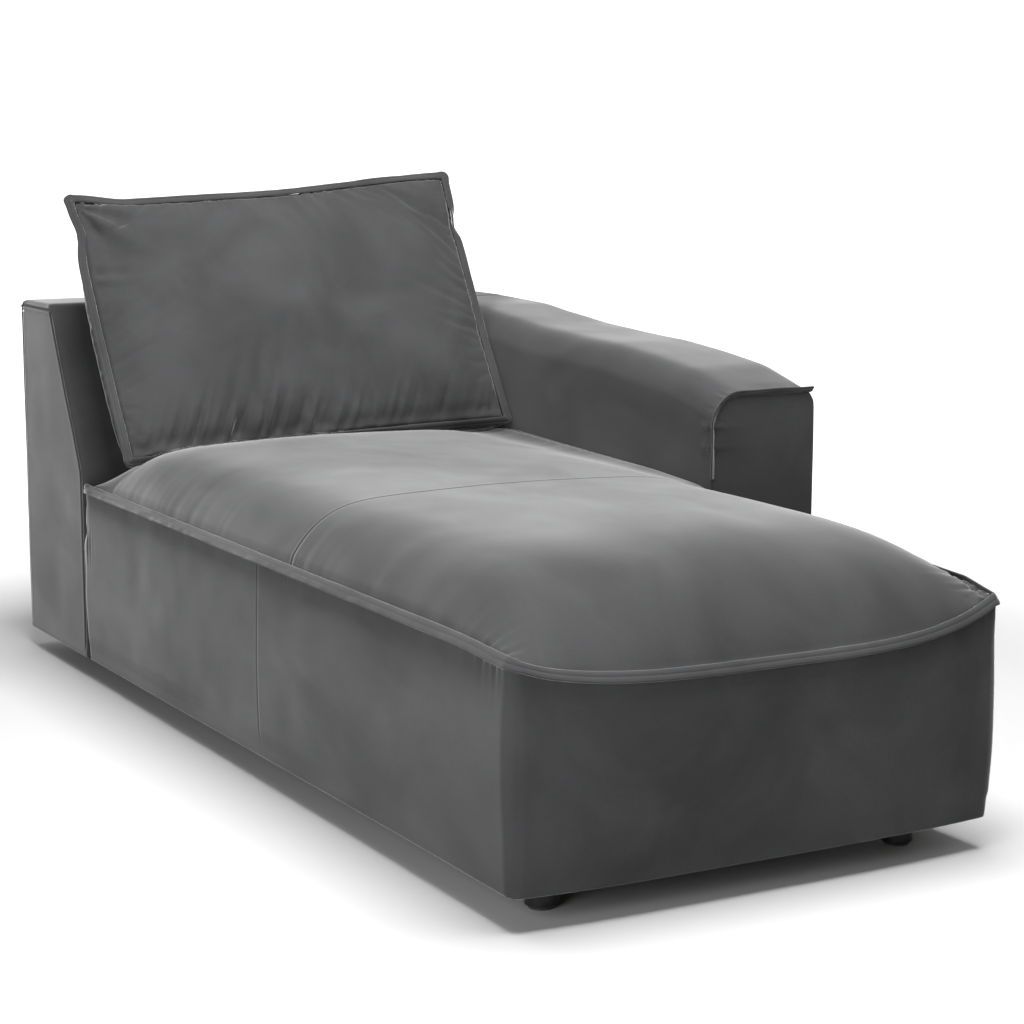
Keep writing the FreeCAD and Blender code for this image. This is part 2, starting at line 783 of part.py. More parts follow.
def cushion_solid(inset):
    x0 = cushion_left_x + inset
    x1 = cushion_right_x - inset
    corners = cushion_corners(inset)
    points = [vector(x0, y, z) for y, z in corners]
    solid = Part.Face(Part.makePolygon(points + points[:1])).extrude(vector(x1 - x0, 0, 0))
    radii = (cushion_front_radius, cushion_rear_radius, cushion_rear_radius, cushion_front_radius)
    for (y, z), radius in zip(corners, radii):
        for edge in along_x_edges(solid):
            place = edge.Vertexes[0].Point
            if abs(place.y - y) + abs(place.z - z) < 0.01:
                solid = solid.makeFillet(max(2.0, radius - inset), [edge])
                break
    return solid


def make_cushion():
    outer = cushion_solid(0)
    inner = cushion_solid(cover_thickness)
    slot = zip_box(zip_tape_thickness)
    save("cushion_cover", outer.cut(inner).cut(slot))
    save("cushion_filling", inner)
    corners = cushion_corners(0)
    bottom_y, bottom_z = corners[0]
    top_y, top_z = corners[3]
    height = math.hypot(top_y - bottom_y, top_z - bottom_z)
    lean = math.degrees(math.atan2(top_y - bottom_y, top_z - bottom_z))
    w = cushion_flange_width
    plate = box(cushion_left_x - w, cushion_right_x + w, 0, flange_thickness, w, height + w)
    plate.rotate(vector(0, 0, 0), vector(1, 0, 0), -lean)
    plate.translate(vector(0, bottom_y, bottom_z))
    save("cushion_flange", plate.cut(cushion_solid(0)))


def zip_y():
    return cushion_corners(0)[1][0] - cushion_rear_radius - zip_from_rear / 2


def zip_box(thickness):
    middle_x = (cushion_left_x + cushion_right_x) / 2
    y = zip_y()
    half = zip_tape_width / 2
    z0 = cushion_bottom_z
    return box(middle_x - zip_length / 2, middle_x + zip_length / 2, y - half, y + half, z0, z0 + thickness)


def make_zip():
    chain = zip_box(zip_tape_thickness)
    save("zip_chain", chain)
    y = zip_y()
    start_x = (cushion_left_x + cushion_right_x - zip_length) / 2 + slider_length
    top_z = cushion_bottom_z - slider_gap
    half = slider_width / 2
    body = box(start_x, start_x + slider_length, y - half, y + half, top_z - slider_height, top_z)
    pin_x = start_x + slider_length / 2
    pin_z = top_z - slider_height - pull_eye_radius - slider_gap
    lug_reach = pin_z - pull_pin_radius - slider_gap
    for side in (-1, 1):
        near = y + side * (pull_width / 2 + slider_gap)
        far = y + side * half
        lug_y0 = min(near, far)
        lug_y1 = max(near, far)
        body = body.fuse(box(pin_x - 2, pin_x + 2, lug_y0, lug_y1, lug_reach, top_z - slider_height))
    pin = rod(pin_x, y - half, pin_z, pull_pin_radius, slider_width, vector(0, 1, 0))
    save("zip_slider", body.fuse(pin).removeSplitter())
    half_pull = pull_width / 2
    hinge_bore = pull_pin_radius + slider_gap / 2
    thick = pull_thickness / 2
    eye = rod(pin_x, y - half_pull, pin_z, pull_eye_radius, pull_width, vector(0, 1, 0))
    tab = box(pin_x - thick, pin_x + thick, y - half_pull, y + half_pull, pin_z - pull_length, pin_z)
    bore = rod(pin_x, y - half_pull - 1, pin_z, hinge_bore, pull_width + 2, vector(0, 1, 0))
    save("zip_pull", eye.fuse(tab).cut(bore))
    print("zip pin", round(pin_x, 3), round(y, 3), round(pin_z, 3))


def main():
    os.makedirs("parts", exist_ok=True)
    make_seat_cover()
    make_seat_flange()
    make_seat_foam()
    make_border_padding()
    make_seat_rails()
    make_cross_rails()
    make_corner_blocks()
    make_springs()
    make_spring_pad()
    make_seat_dust_cover()
    make_back_skin()
    make_back_frame()
    make_back_leg_boards()
    make_arm_skin()
    make_arm_flange()
    make_arm_frame()
    make_legs()
    connectors()
    make_cushion()
    make_zip()


main()
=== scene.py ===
import bpy
import json
import math
import numpy as np
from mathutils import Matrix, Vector


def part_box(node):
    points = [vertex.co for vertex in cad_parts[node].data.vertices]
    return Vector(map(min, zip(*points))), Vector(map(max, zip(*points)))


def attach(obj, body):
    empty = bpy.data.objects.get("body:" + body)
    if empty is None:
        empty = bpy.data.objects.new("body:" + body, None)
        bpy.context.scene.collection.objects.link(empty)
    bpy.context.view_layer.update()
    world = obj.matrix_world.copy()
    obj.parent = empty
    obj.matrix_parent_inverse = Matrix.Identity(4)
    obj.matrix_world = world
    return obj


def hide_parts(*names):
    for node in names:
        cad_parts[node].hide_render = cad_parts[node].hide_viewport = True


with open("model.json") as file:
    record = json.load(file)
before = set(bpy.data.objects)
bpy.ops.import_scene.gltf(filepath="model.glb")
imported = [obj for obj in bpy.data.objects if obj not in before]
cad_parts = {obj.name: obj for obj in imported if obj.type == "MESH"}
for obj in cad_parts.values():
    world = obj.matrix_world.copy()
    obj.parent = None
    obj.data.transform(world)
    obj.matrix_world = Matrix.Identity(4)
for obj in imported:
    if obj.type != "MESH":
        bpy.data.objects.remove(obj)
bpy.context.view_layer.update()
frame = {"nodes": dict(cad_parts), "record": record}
print("frame loaded:", len(frame["nodes"]), "nodes")


# small tools

def clearSelection():
    if bpy.context.mode != "OBJECT":
        bpy.ops.object.mode_set(mode="OBJECT")
    bpy.ops.object.select_all(action="DESELECT")


def makeActive(piece):
    clearSelection()
    piece.select_set(True)
    bpy.context.view_layer.objects.active = piece


def editAll(piece):
    makeActive(piece)
    bpy.ops.object.mode_set(mode="EDIT")
    bpy.ops.mesh.select_all(action="SELECT")


def readPoints(piece):
    points = np.zeros(len(piece.data.vertices) * 3)
    piece.data.vertices.foreach_get("co", points)
    return points.reshape(-1, 3)


def writePoints(piece, points):
    piece.data.vertices.foreach_set("co", points.ravel())
    piece.data.update()


def readNormals(piece):
    normals = np.zeros(len(piece.data.vertices) * 3)
    piece.data.vertices.foreach_get("normal", normals)
    return normals.reshape(-1, 3)


def faceCentres(piece):
    centres = np.zeros(len(piece.data.polygons) * 3)
    piece.data.polygons.foreach_get("center", centres)
    return centres.reshape(-1, 3)


def deleteFaces(piece, chosen):
    makeActive(piece)
    mesh = piece.data
    mesh.vertices.foreach_set("select", np.zeros(len(mesh.vertices), bool))
    mesh.edges.foreach_set("select", np.zeros(len(mesh.edges), bool))
    mesh.polygons.foreach_set("select", chosen)
    bpy.context.tool_settings.mesh_select_mode = (False, False, True)
    bpy.ops.object.mode_set(mode="EDIT")
    bpy.ops.mesh.delete(type="FACE")
    bpy.context.tool_settings.mesh_select_mode = (True, False, False)
    bpy.ops.object.mode_set(mode="OBJECT")


def copyPiece(piece, name):
    makeActive(piece)
    bpy.ops.object.duplicate()
    twin = bpy.context.object
    twin.name = name
    return twin


def applySubdivision(piece, level):
    makeActive(piece)
    smooth = piece.modifiers.new("smooth", "SUBSURF")
    smooth.levels = level
    smooth.render_levels = level
    bpy.ops.object.modifier_apply(modifier=smooth.name)


def applyThickness(piece, thickness):
    makeActive(piece)
    wall = piece.modifiers.new("wall", "SOLIDIFY")
    wall.thickness = thickness
    wall.offset = -1
    bpy.ops.object.modifier_apply(modifier=wall.name)


def finishPiece(piece, body, material):
    makeActive(piece)
    bpy.ops.object.shade_smooth()
    piece.data.materials.clear()
    piece.data.materials.append(material)
    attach(piece, body)
    return piece


def smoothStep(value):
    t = np.clip(value, 0, 1)
    return t * t * (3 - 2 * t)


def bell(value, width):
    return np.exp(-(value / width) ** 2)


noiseCells = 24


def softNoise(points, size, seed):  # smooth random field from -1 to 1, with lumps of that size
    table = np.random.RandomState(seed).rand(noiseCells, noiseCells, noiseCells) * 2 - 1
    scaled = points / np.array(size)
    cell = np.floor(scaled).astype(int)
    part = smoothStep(scaled - cell)
    total = np.zeros(len(points))
    for corner in np.ndindex(2, 2, 2):
        weight = np.prod(np.abs(1 - np.array(corner) - part), axis=1)
        x, y, z = ((cell + np.array(corner)) % noiseCells).T
        total += weight * table[x, y, z]
    return total


def lineNoise(along, size, seed):
    table = np.random.RandomState(seed).rand(512) * 2 - 1
    scaled = along / size
    cell = np.floor(scaled).astype(int)
    part = smoothStep(scaled - cell)
    return table[cell % 512] * (1 - part) + table[(cell + 1) % 512] * part


def gathers(along, size, seed):  # puckers of about that spacing, in uneven groups
    folds = lineNoise(along, size * 0.5, seed) + 0.6 * lineNoise(along, size, seed + 1)
    return folds * smoothStep(lineNoise(along, size * 6, seed + 2) * 0.8 + 0.55)


def crowding(low, high, focus):  # (place, width, gain) makes the mesh lines closer near a place
    line = np.linspace(low, high, 3001)
    density = np.ones_like(line)
    for place, width, gain in focus:
        density += gain * bell(line - place, width)
    total = np.cumsum(density)
    total = (total - total[0]) / (total[-1] - total[0])
    return line, total, density.mean()


def denseBox(name, low, high, cell, focus=((), (), ())):
    clearSelection()
    low, high = np.array(low, float), np.array(high, float)
    middle, size = (low + high) / 2, high - low
    spacing = [crowding(low[axis], high[axis], focus[axis]) for axis in range(3)]
    counts = [max(2, int(round(size[axis] / cell * spacing[axis][2]))) for axis in range(3)]
    half = math.pi / 2
    sides = [
        ((0, 1), 2, 1, (0, 0, 0)), ((0, 1), 2, -1, (math.pi, 0, 0)),
        ((0, 2), 1, -1, (half, 0, 0)), ((0, 2), 1, 1, (-half, 0, 0)),
        ((1, 2), 0, 1, (half, 0, half)), ((1, 2), 0, -1, (half, 0, -half)),
    ]
    made = []
    for (across, up), facing, sign, turn in sides:
        place = middle.copy()
        place[facing] += sign * size[facing] / 2
        bpy.ops.mesh.primitive_grid_add(
            x_subdivisions=counts[across], y_subdivisions=counts[up], size=1, location=place, rotation=turn
        )
        side = bpy.context.object
        side.scale = (size[across], size[up], 1)
        bpy.ops.object.transform_apply(location=True, rotation=True, scale=True)
        made.append(side)
    clearSelection()
    for side in made:
        side.select_set(True)
    bpy.context.view_layer.objects.active = made[0]
    bpy.ops.object.join()
    box = bpy.context.object
    box.name = name
    editAll(box)
    bpy.ops.mesh.remove_doubles(threshold=0.0004)
    bpy.ops.mesh.normals_make_consistent(inside=False)
    bpy.ops.object.mode_set(mode="OBJECT")
    points = readPoints(box)
    for axis in range(3):
        line, total = spacing[axis][:2]
        share = (points[:, axis] - low[axis]) / size[axis]
        points[:, axis] = np.interp(share, total, line)
    writePoints(box, points)
    return box


def roundPair(a, b, aLow, aHigh, bLow, bHigh, radii):  # rounds the four corners of a section
    a, b = a.copy(), b.copy()
    corners = [(aLow, bLow, 1, 1), (aHigh, bLow, -1, 1), (aHigh, bHigh, -1, -1), (aLow, bHigh, 1, -1)]
    for (ca, cb, sa, sb), radius in zip(corners, radii):
        radius = np.maximum(radius + 0 * a, 1e-5)
        da, db = (ca + sa * radius - a) * sa, (cb + sb * radius - b) * sb
        inside = (da > 0) & (db > 0)
        radius = radius[inside]
        p, q = da[inside] / radius, db[inside] / radius
        a[inside] = ca + sa * radius - sa * radius * p * np.sqrt(1 - q * q / 2)
        b[inside] = cb + sb * radius - sb * radius * q * np.sqrt(1 - p * p / 2)
    return a, b


def stripAlong(name, centre, outward, upward, section, closed):  # a section carried along a path
    count, rim = len(centre), len(section)
    clearSelection()
    bpy.ops.mesh.primitive_grid_add(x_subdivisions=count - 1 + int(closed), y_subdivisions=rim, size=1)
    strip = bpy.context.object
    strip.name = name
    grid = readPoints(strip)
    column = np.rint((grid[:, 0] + 0.5) * (count - 1 + int(closed))).astype(int) % count
    row = np.rint((grid[:, 1] + 0.5) * rim).astype(int) % rim
    section = np.array(section)
    points = centre[column] + outward[column] * section[row, :1] + upward[column] * section[row, 1:]
    writePoints(strip, points)
    editAll(strip)
    bpy.ops.mesh.remove_doubles(threshold=0.00002)
    if not closed:
        bpy.ops.mesh.select_all(action="DESELECT")
        bpy.ops.mesh.select_non_manifold(extend=False)
        bpy.ops.mesh.edge_face_add()
        bpy.ops.mesh.select_all(action="SELECT")
    bpy.ops.mesh.normals_make_consistent(inside=False)
    bpy.ops.object.mode_set(mode="OBJECT")
    return strip


def pathRun(path, closed):  # unit direction and distance along a path
    if closed:
        run = np.roll(path, -1, axis=0) - np.roll(path, 1, axis=0)
    else:
        run = np.gradient(path, axis=0)
    run /= np.linalg.norm(run, axis=1)[:, None]
    steps = np.linalg.norm(np.diff(path, axis=0), axis=1)
    return run, np.concatenate([[0], np.cumsum(steps)])


# finishes

def newMaterial(name):
    material = bpy.data.materials.new(name)
    material.use_nodes = True
    nodes = material.node_tree.nodes
    shader = nodes["Principled BSDF"]
    place = nodes.new("ShaderNodeTexCoord")
    return material, nodes, material.node_tree.links, shader, place


def stretchedPlace(nodes, links, place, stretch):
    mapping = nodes.new("ShaderNodeMapping")
    mapping.inputs["Scale"].default_value = stretch
    links.new(place.outputs["Object"], mapping.inputs["Vector"])
    return mapping.outputs["Vector"]


def addBump(nodes, links, shader, height, strength, distance):
    bump = nodes.new("ShaderNodeBump")
    bump.inputs["Strength"].default_value = strength
    bump.inputs["Distance"].default_value = distance
    links.new(height, bump.inputs["Height"])
    links.new(bump.outputs["Normal"], shader.inputs["Normal"])


velvetLook = {
    "nearColour": (0.030, 0.0302, 0.031, 1),
    "farColour": (0.046, 0.0463, 0.0475, 1),
    "roughness": 0.8,
    "sheenRoughness": 0.30,
    "sheenTint": (1.0, 1.0, 1.0, 1),
    "mottleScale": 6.0,
    "mottleStretch": (1.0, 0.55, 1.0),
    "sheenRange": (0.82, 1.0),
    "napScale": 420.0,
    "napBump": 0.0003,
}


def makeVelvet():
    look = velvetLook
    material, nodes, links, shader, place = newMaterial("greyVelvet")
    mottle = nodes.new("ShaderNodeTexNoise")
    mottle.inputs["Scale"].default_value = look["mottleScale"]
    mottle.inputs["Detail"].default_value = 5
    nap = nodes.new("ShaderNodeTexNoise")
    nap.inputs["Scale"].default_value = look["napScale"]
    nap.inputs["Detail"].default_value = 3
    mottle.inputs["Distortion"].default_value = 0.6
    links.new(stretchedPlace(nodes, links, place, look["mottleStretch"]), mottle.inputs["Vector"])
    links.new(place.outputs["Object"], nap.inputs["Vector"])
    blend = nodes.new("ShaderNodeMapRange")
    blend.inputs["From Min"].default_value = 0.35
    blend.inputs["From Max"].default_value = 0.65
    links.new(mottle.outputs["Fac"], blend.inputs["Value"])
    colour = nodes.new("ShaderNodeMix")
    colour.data_type = "RGBA"
    colour.inputs["A"].default_value = look["nearColour"]
    colour.inputs["B"].default_value = look["farColour"]
    links.new(blend.outputs["Result"], colour.inputs["Factor"])
    grain = nodes.new("ShaderNodeMix")
    grain.data_type = "RGBA"
    grain.blend_type = "MULTIPLY"
    grain.inputs["Factor"].default_value = 0.35
    links.new(colour.outputs["Result"], grain.inputs["A"])
    links.new(nap.outputs["Color"], grain.inputs["B"])
    links.new(grain.outputs["Result"], shader.inputs["Base Color"])
    addBump(nodes, links, shader, nap.outputs["Fac"], 0.6, look["napBump"])
    shader.inputs["Roughness"].default_value = look["roughness"]
    shader.inputs["Specular IOR Level"].default_value = 0.15
    weight = nodes.new("ShaderNodeMapRange")
    weight.inputs["From Min"].default_value = 0.35
    weight.inputs["From Max"].default_value = 0.65
    weight.inputs["To Min"].default_value = look["sheenRange"][0]
    weight.inputs["To Max"].default_value = look["sheenRange"][1]
    links.new(mottle.outputs["Fac"], weight.inputs["Value"])
    links.new(weight.outputs["Result"], shader.inputs["Sheen Weight"])
    shader.inputs["Sheen Roughness"].default_value = look["sheenRoughness"]
    shader.inputs["Sheen Tint"].default_value = look["sheenTint"]
    return material


# first and second colour, pattern scale, stretch, roughness range, metallic, bump distance
finishLook = {
    "foam": ((0.80, 0.74, 0.55), (0.86, 0.81, 0.66), 260, (1, 1, 1), (0.85, 1.0), 0, 0.0008),
    "filling": ((0.88, 0.88, 0.86), (0.95, 0.95, 0.94), 90, (1, 1, 1), (0.9, 1.0), 0, 0.002),
    "felt": ((0.20, 0.19, 0.18), (0.42, 0.40, 0.38), 320, (1, 1, 0.4), (0.9, 1.0), 0, 0.0008),
    "dust_cloth": ((0.012, 0.012, 0.013), (0.03, 0.03, 0.032), 700, (1, 1, 1), (0.75, 0.95), 0, 0.0003),
    "spring_steel": ((0.16, 0.16, 0.17), (0.34, 0.33, 0.32), 60, (1, 1, 1), (0.3, 0.5), 1, 0.0001),
    "zinc_steel": ((0.55, 0.56, 0.58), (0.72, 0.71, 0.66), 45, (1, 1, 1), (0.25, 0.45), 1, 0.0001),
    "leg_lacquer": ((0.006, 0.006, 0.007), (0.014, 0.014, 0.014), 24, (1, 1, 0.25), (0.22, 0.38), 0, 0.0001),
    "glide_felt": ((0.02, 0.02, 0.02), (0.05, 0.05, 0.05), 600, (1, 1, 1), (0.85, 1.0), 0, 0.0004),
    "zip_tape": ((0.016, 0.016, 0.017), (0.045, 0.045, 0.047), 900, (0.4, 1, 1), (0.7, 0.9), 0, 0.0003),
    "zip_metal": ((0.03, 0.03, 0.032), (0.07, 0.07, 0.07), 300, (1, 1, 1), (0.25, 0.42), 1, 0.0001),
    "hardboard": ((0.20, 0.12, 0.06), (0.36, 0.24, 0.14), 180, (1, 1, 1), (0.65, 0.85), 0, 0.0004),
}


def makeFinish(name, look):
    first, second, scale, stretch, (smooth, rough), metallic, depth = look
    material, nodes, links, shader, place = newMaterial(name)
    where = stretchedPlace(nodes, links, place, stretch)
    noise = nodes.new("ShaderNodeTexNoise")
    noise.inputs["Scale"].default_value = scale
    noise.inputs["Detail"].default_value = 6
    links.new(where, noise.inputs["Vector"])
    colour = nodes.new("ShaderNodeValToRGB")
    colour.color_ramp.elements[0].position = 0.3
    colour.color_ramp.elements[1].position = 0.7
    colour.color_ramp.elements[0].color = (*first, 1)
    colour.color_ramp.elements[1].color = (*second, 1)
    links.new(noise.outputs["Fac"], colour.inputs["Fac"])
    links.new(colour.outputs["Color"], shader.inputs["Base Color"])
    gloss = nodes.new("ShaderNodeMapRange")
    gloss.inputs["To Min"].default_value = smooth
    gloss.inputs["To Max"].default_value = rough
    links.new(noise.outputs["Fac"], gloss.inputs["Value"])
    links.new(gloss.outputs["Result"], shader.inputs["Roughness"])
    shader.inputs["Metallic"].default_value = metallic
    addBump(nodes, links, shader, noise.outputs["Fac"], 0.5, depth)
    return material


timberLook = {
    "early": (0.66, 0.47, 0.28, 1),
    "late": (0.46, 0.29, 0.15, 1),
    "ringScale": 26.0,
    "alongGrain": 0.06,
}


def makeTimber(axis):  # grain runs along that axis
    look = timberLook
    material, nodes, links, shader, place = newMaterial("pine" + "XYZ"[axis])
    stretch = [1.0, 1.0, 1.0]
    stretch[axis] = look["alongGrain"]
    where = stretchedPlace(nodes, links, place, stretch)
    rings = nodes.new("ShaderNodeTexNoise")
    rings.inputs["Scale"].default_value = look["ringScale"]
    rings.inputs["Detail"].default_value = 8
    rings.inputs["Distortion"].default_value = 0.8
    links.new(where, rings.inputs["Vector"])
    colour = nodes.new("ShaderNodeValToRGB")
    colour.color_ramp.elements[0].position = 0.38
    colour.color_ramp.elements[1].position = 0.62
    colour.color_ramp.elements[0].color = look["late"]
    colour.color_ramp.elements[1].color = look["early"]
    links.new(rings.outputs["Fac"], colour.inputs["Fac"])
    links.new(colour.outputs["Color"], shader.inputs["Base Color"])
    shader.inputs["Roughness"].default_value = 0.68
    addBump(nodes, links, shader, rings.outputs["Fac"], 0.35, 0.0006)
    return material


velvet = makeVelvet()
finishes = {}
for name, look in finishLook.items():
    finishes[name] = makeFinish(name.replace("_", " ").title().replace(" ", ""), look)
timbers = [makeTimber(axis) for axis in range(3)]


def dressFrame():  # every CAD node gets the finish of its slot
    for part in frame["record"]["subparts"]:
        node = frame["nodes"][part["node"]]
        slotName = part["material_slot"]
        low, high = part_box(part["node"])
        if slotName == "timber":
            size = [high[axis] - low[axis] for axis in range(3)]
            material = timbers[size.index(max(size))]
        elif slotName == "velvet":
            material = velvet
        else:
            material = finishes[slotName]
        node.data.materials.clear()
        node.data.materials.append(material)


dressFrame()
print("finishes made")


# seat

seatLow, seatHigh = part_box("seat_cover")
backLow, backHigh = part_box("back_cover")
armLow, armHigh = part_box("arm_cover")

seat = {
    "seamHeight": 0.366,
    "crownHeight": 0.471,
    "crownFall": 0.020,
    "edgeReach": 0.20,
    "edgePower": 4.3,
    "frontDip": 0.043,
    "cornerDroop": 0.006,
    "sideBulge": 0.007,
    "baseDrop": 0.0105,
    "dipReach": 0.26,
    "frontBow": 0.015,
    "frontRoll": 0.46,
    "rearRoll": 0.30,
    "leftCorner": 0.012,
    "rightCorner": 0.006,
    "edgeRound": 0.007,
    "hemRadius": 0.004,
    "hemWidth": 0.034,
    "cell": 0.022,
    "crossSeam": -0.285,
    "sideSeam": -0.175,
    "clothThickness": 0.002,
    "foamInset": 0.009,
    "foamBottom": 0.223,
}
# how far the right-hand seam stands above the left-hand one, where the foam is pushed up against the arm
rightLift = np.array([
    (-1.0, 0.0), (-0.925, 0.017), (-0.78, 0.026), (-0.5, 0.034), (-0.31, 0.042), (-0.24, 0.068),
    (-0.1, 0.077), (0.17, 0.084), (0.42, 0.092), (0.54, 0.082), (0.66, 0.05),
])
seatFront = seatLow.y + seat["frontBow"]
seatMiddle = (seatLow.x + seatHigh.x) / 2
seatHalf = (seatHigh.x - seatLow.x) / 2


def frontShare(y, reach):
    return np.clip(1 - (y - seatFront) / reach, 0, 1)


def seatShare(x):
    return np.clip(np.abs(x - seatMiddle) / seatHalf, 0, 1)


def seamHeight(x, y):
    dip = seat["frontDip"] * (1 - seatShare(x) ** 4) * frontShare(y, seat["dipReach"]) ** 2
    dip = dip + seat["cornerDroop"] * bell(np.hypot(x - seatLow.x, y - seatFront), 0.09)
    lift = np.interp(y, rightLift[:, 0], rightLift[:, 1]) * smoothStep((x - seatHigh.x + 0.14) / 0.14)
    return seat["seamHeight"] - dip + lift


def seatTop(x, y):
    rearShare = np.clip(1 - (seatHigh.y - y) / seat["rearRoll"], 0, 1)
    fullness = (1 - frontShare(y, seat["frontRoll"]) ** 4) * (1 - rearShare ** 2.5)
    fromEdge = np.clip(np.minimum(x - seatLow.x, seatHigh.x - x) / seat["edgeReach"], 0, 1)
    crown = seat["crownHeight"] - seat["crownFall"] * seatShare(x) ** 2
    seam = seamHeight(x, y)
    return seam + (crown - seam) * fullness * (1 - (1 - fromEdge) ** seat["edgePower"])


def seatBow(x, y):
    return seat["frontBow"] * (1 - seatShare(x) ** 3.5) * np.exp(-np.clip(y - seatFront, 0, None) / 0.12)


def baseDrop(y):  # the covers hang a little lower towards the rear
    return seat["baseDrop"] * smoothStep((y - seatFront) / 1.9)


def makeSeatShape():
    low = (seatLow.x, seatFront, seatLow.z)
    high = (seatHigh.x, seatHigh.y, seat["seamHeight"])
    focus = (
        ((low[0], 0.07, 3.6), (high[0], 0.05, 3.0)),
        (
            (low[1], 0.09, 3.6), (seat["crossSeam"], 0.009, 8),
            (seat["sideSeam"], 0.008, 8), (high[1], 0.06, 2),
        ),
        ((high[2], 0.035, 3.6), (low[2], 0.01, 3)),
    )
    shape = denseBox("seatCover", low, high, seat["cell"], focus)
    x, y, z = readPoints(shape).T.copy()
    height = (z - low[2]) / (high[2] - low[2])
    top = z > high[2] - 1e-5
    bottom = z < low[2] + 1e-5
    onSide = (x < low[0] + 1e-5) | (x > high[0] - 1e-5)
    onEnd = (y < low[1] + 1e-5) | (y > high[1] - 1e-5)
    rounding = seat["edgeRound"] * smoothStep((1 - height) / 0.2)
    radii = (seat["leftCorner"] + rounding, seat["rightCorner"] + rounding, 0.01, 0.01)
    newX, newY = roundPair(x, y, low[0], high[0], low[1], high[1], radii)
    newY = newY - seatBow(newX, newY)
    bottomZ = low[2] - baseDrop(newY)
    newZ = bottomZ + height * (seamHeight(newX, newY) - bottomZ)
    newZ = np.where(top, seatTop(newX, newY), newZ)
    hem = np.clip(1 - (newZ - bottomZ) / seat["hemRadius"], 0, 1)
    tuck = seat["hemRadius"] * (1 - np.sqrt(1 - hem * hem))
    push = np.where(top | bottom, 0, 0.005 * np.sin(np.pi * height) - tuck)
    newX = newX + np.where(onSide, push * np.sign(x - seatMiddle), 0)
    newY = newY + np.where(onEnd, push * np.sign(y), 0)
    free = smoothStep((armLow.y - 0.03 - newY) / 0.12) * smoothStep((newX - seatHigh.x + 0.12) / 0.12)
    newX = newX + seat["sideBulge"] * free * (0.25 + 0.75 * np.sqrt(height)) * np.where(top, 0.7, 1)
    writePoints(shape, np.stack([newX, newY, newZ], 1))
    return shape


def wrinkleSeat(cover):
    points, normals = readPoints(cover), readNormals(cover)
    x, y, z = points.T
    front = seatFront - seatBow(x, seatFront + 0 * y)
    seam = seamHeight(x, y)
    edge = np.minimum.reduce([x - seatLow.x, seatHigh.x - x, y - front, seatHigh.y - y])
    top = (normals[:, 2] > 0.35) & (z > seam - 0.002)
    drop = np.clip(seam - z, 0, None)
    facingEnd = np.abs(normals[:, 1]) > np.abs(normals[:, 0])
    nearEnd = (y - front) < np.minimum(x - seatLow.x, seatHigh.x - x)
    along = np.where(np.where(top, nearEnd, facingEnd), x, y)
    leftCorner = bell(np.hypot(x - seatLow.x, y - front), 0.085)
    rightCorner = bell(np.hypot(seatHigh.x - x, y - front), 0.10)
    rearCorner = bell(np.hypot(x - seatLow.x, seatHigh.y - y), 0.09)
    folds = gathers(along, 0.010, 11)
    topDepth = 0.0007 + 0.0026 * leftCorner + 0.0030 * rightCorner + 0.0022 * rearCorner
    topFolds = topDepth * np.exp(-edge / 0.032)
    sideDepth = 0.0006 + 0.0036 * leftCorner + 0.0018 * rearCorner
    sideFolds = sideDepth * np.exp(-drop / 0.014)
    push = np.where(top, topFolds, np.where(z > seatLow.z + 0.02, sideFolds, 0)) * folds
    push -= np.where(top, 0.0035 * bell(edge - 0.004, 0.005), 0)
    upper = z > seatLow.z + 0.03
    crossSeam = bell(y - seat["crossSeam"], 0.0022) - 0.35 * bell(y - seat["crossSeam"] - 0.004, 0.0035)
    push -= np.where(top, 0.0007 * crossSeam, 0)
    sideSeam = bell(y - seat["sideSeam"], 0.0022) - 0.35 * bell(y - seat["sideSeam"] - 0.004, 0.0035)
    push -= np.where(top | (x > seatMiddle), 0, 0.0005 * sideSeam)
    rearEdge = (x < seatLow.x + 0.03) & ~top
    tuckSize = 0.6 + 0.6 * lineNoise(z, 0.016, 17)
    tucks = bell(seatHigh.y - y, 0.018) * smoothStep((z - 0.262) / 0.02) * tuckSize
    push -= np.where(rearEdge, 0.006 * tucks, 0)
    creases = np.sin((seatHigh.y - y + z * 1.4) * 420)
    creases *= bell(np.hypot(seatHigh.y - 0.02 - y, z - 0.262), 0.03)
    push += np.where(rearEdge, 0.0014 * creases, 0)
    push += 0.0015 * softNoise(points, (0.17, 0.24, 0.13), 5)
    push += 0.0004 * softNoise(points, (0.05, 0.06, 0.05), 6)
    push += np.where(top, 0, 0.0012)
    writePoints(cover, points + normals * (push * np.where(upper, 1, 0.15))[:, None])


def openUnderside(shape, low, high, hemWidth):
    centres = faceCentres(shape)
    inside = (centres[:, 0] > low[0] + hemWidth) & (centres[:, 0] < high[0] - hemWidth)
    inside &= (centres[:, 1] > low[1] + hemWidth) & (centres[:, 1] < high[1] - hemWidth)
    inside &= centres[:, 2] < low[2] + 0.004
    deleteFaces(shape, inside)


def makeFoam(shape, name, inset, node, bottom, wall):  # foam under a cover, cut off flat at its bottom
    foam = copyPiece(shape, name)
    points = readPoints(foam)
    foamLow, foamHigh = points.min(axis=0), points.max(axis=0)
    middle = (foamLow + foamHigh) / 2
    writePoints(foam, middle + (points - middle) * (1 - 2 * inset / (foamHigh - foamLow)))
    editAll(foam)
    bpy.ops.mesh.bisect(
        plane_co=(0, 0, bottom), plane_no=(0, 0, 1), use_fill=wall is None, clear_inner=True
    )
    bpy.ops.object.mode_set(mode="OBJECT")
    if wall is not None:
        applyThickness(foam, wall)
    finishPiece(foam, "daybed", finishes["foam"])
    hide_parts(node)
    return foam


def finishCover(cover, node):
    applyThickness(cover, seat["clothThickness"])
    finishPiece(cover, "daybed", velvet)
    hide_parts(node)


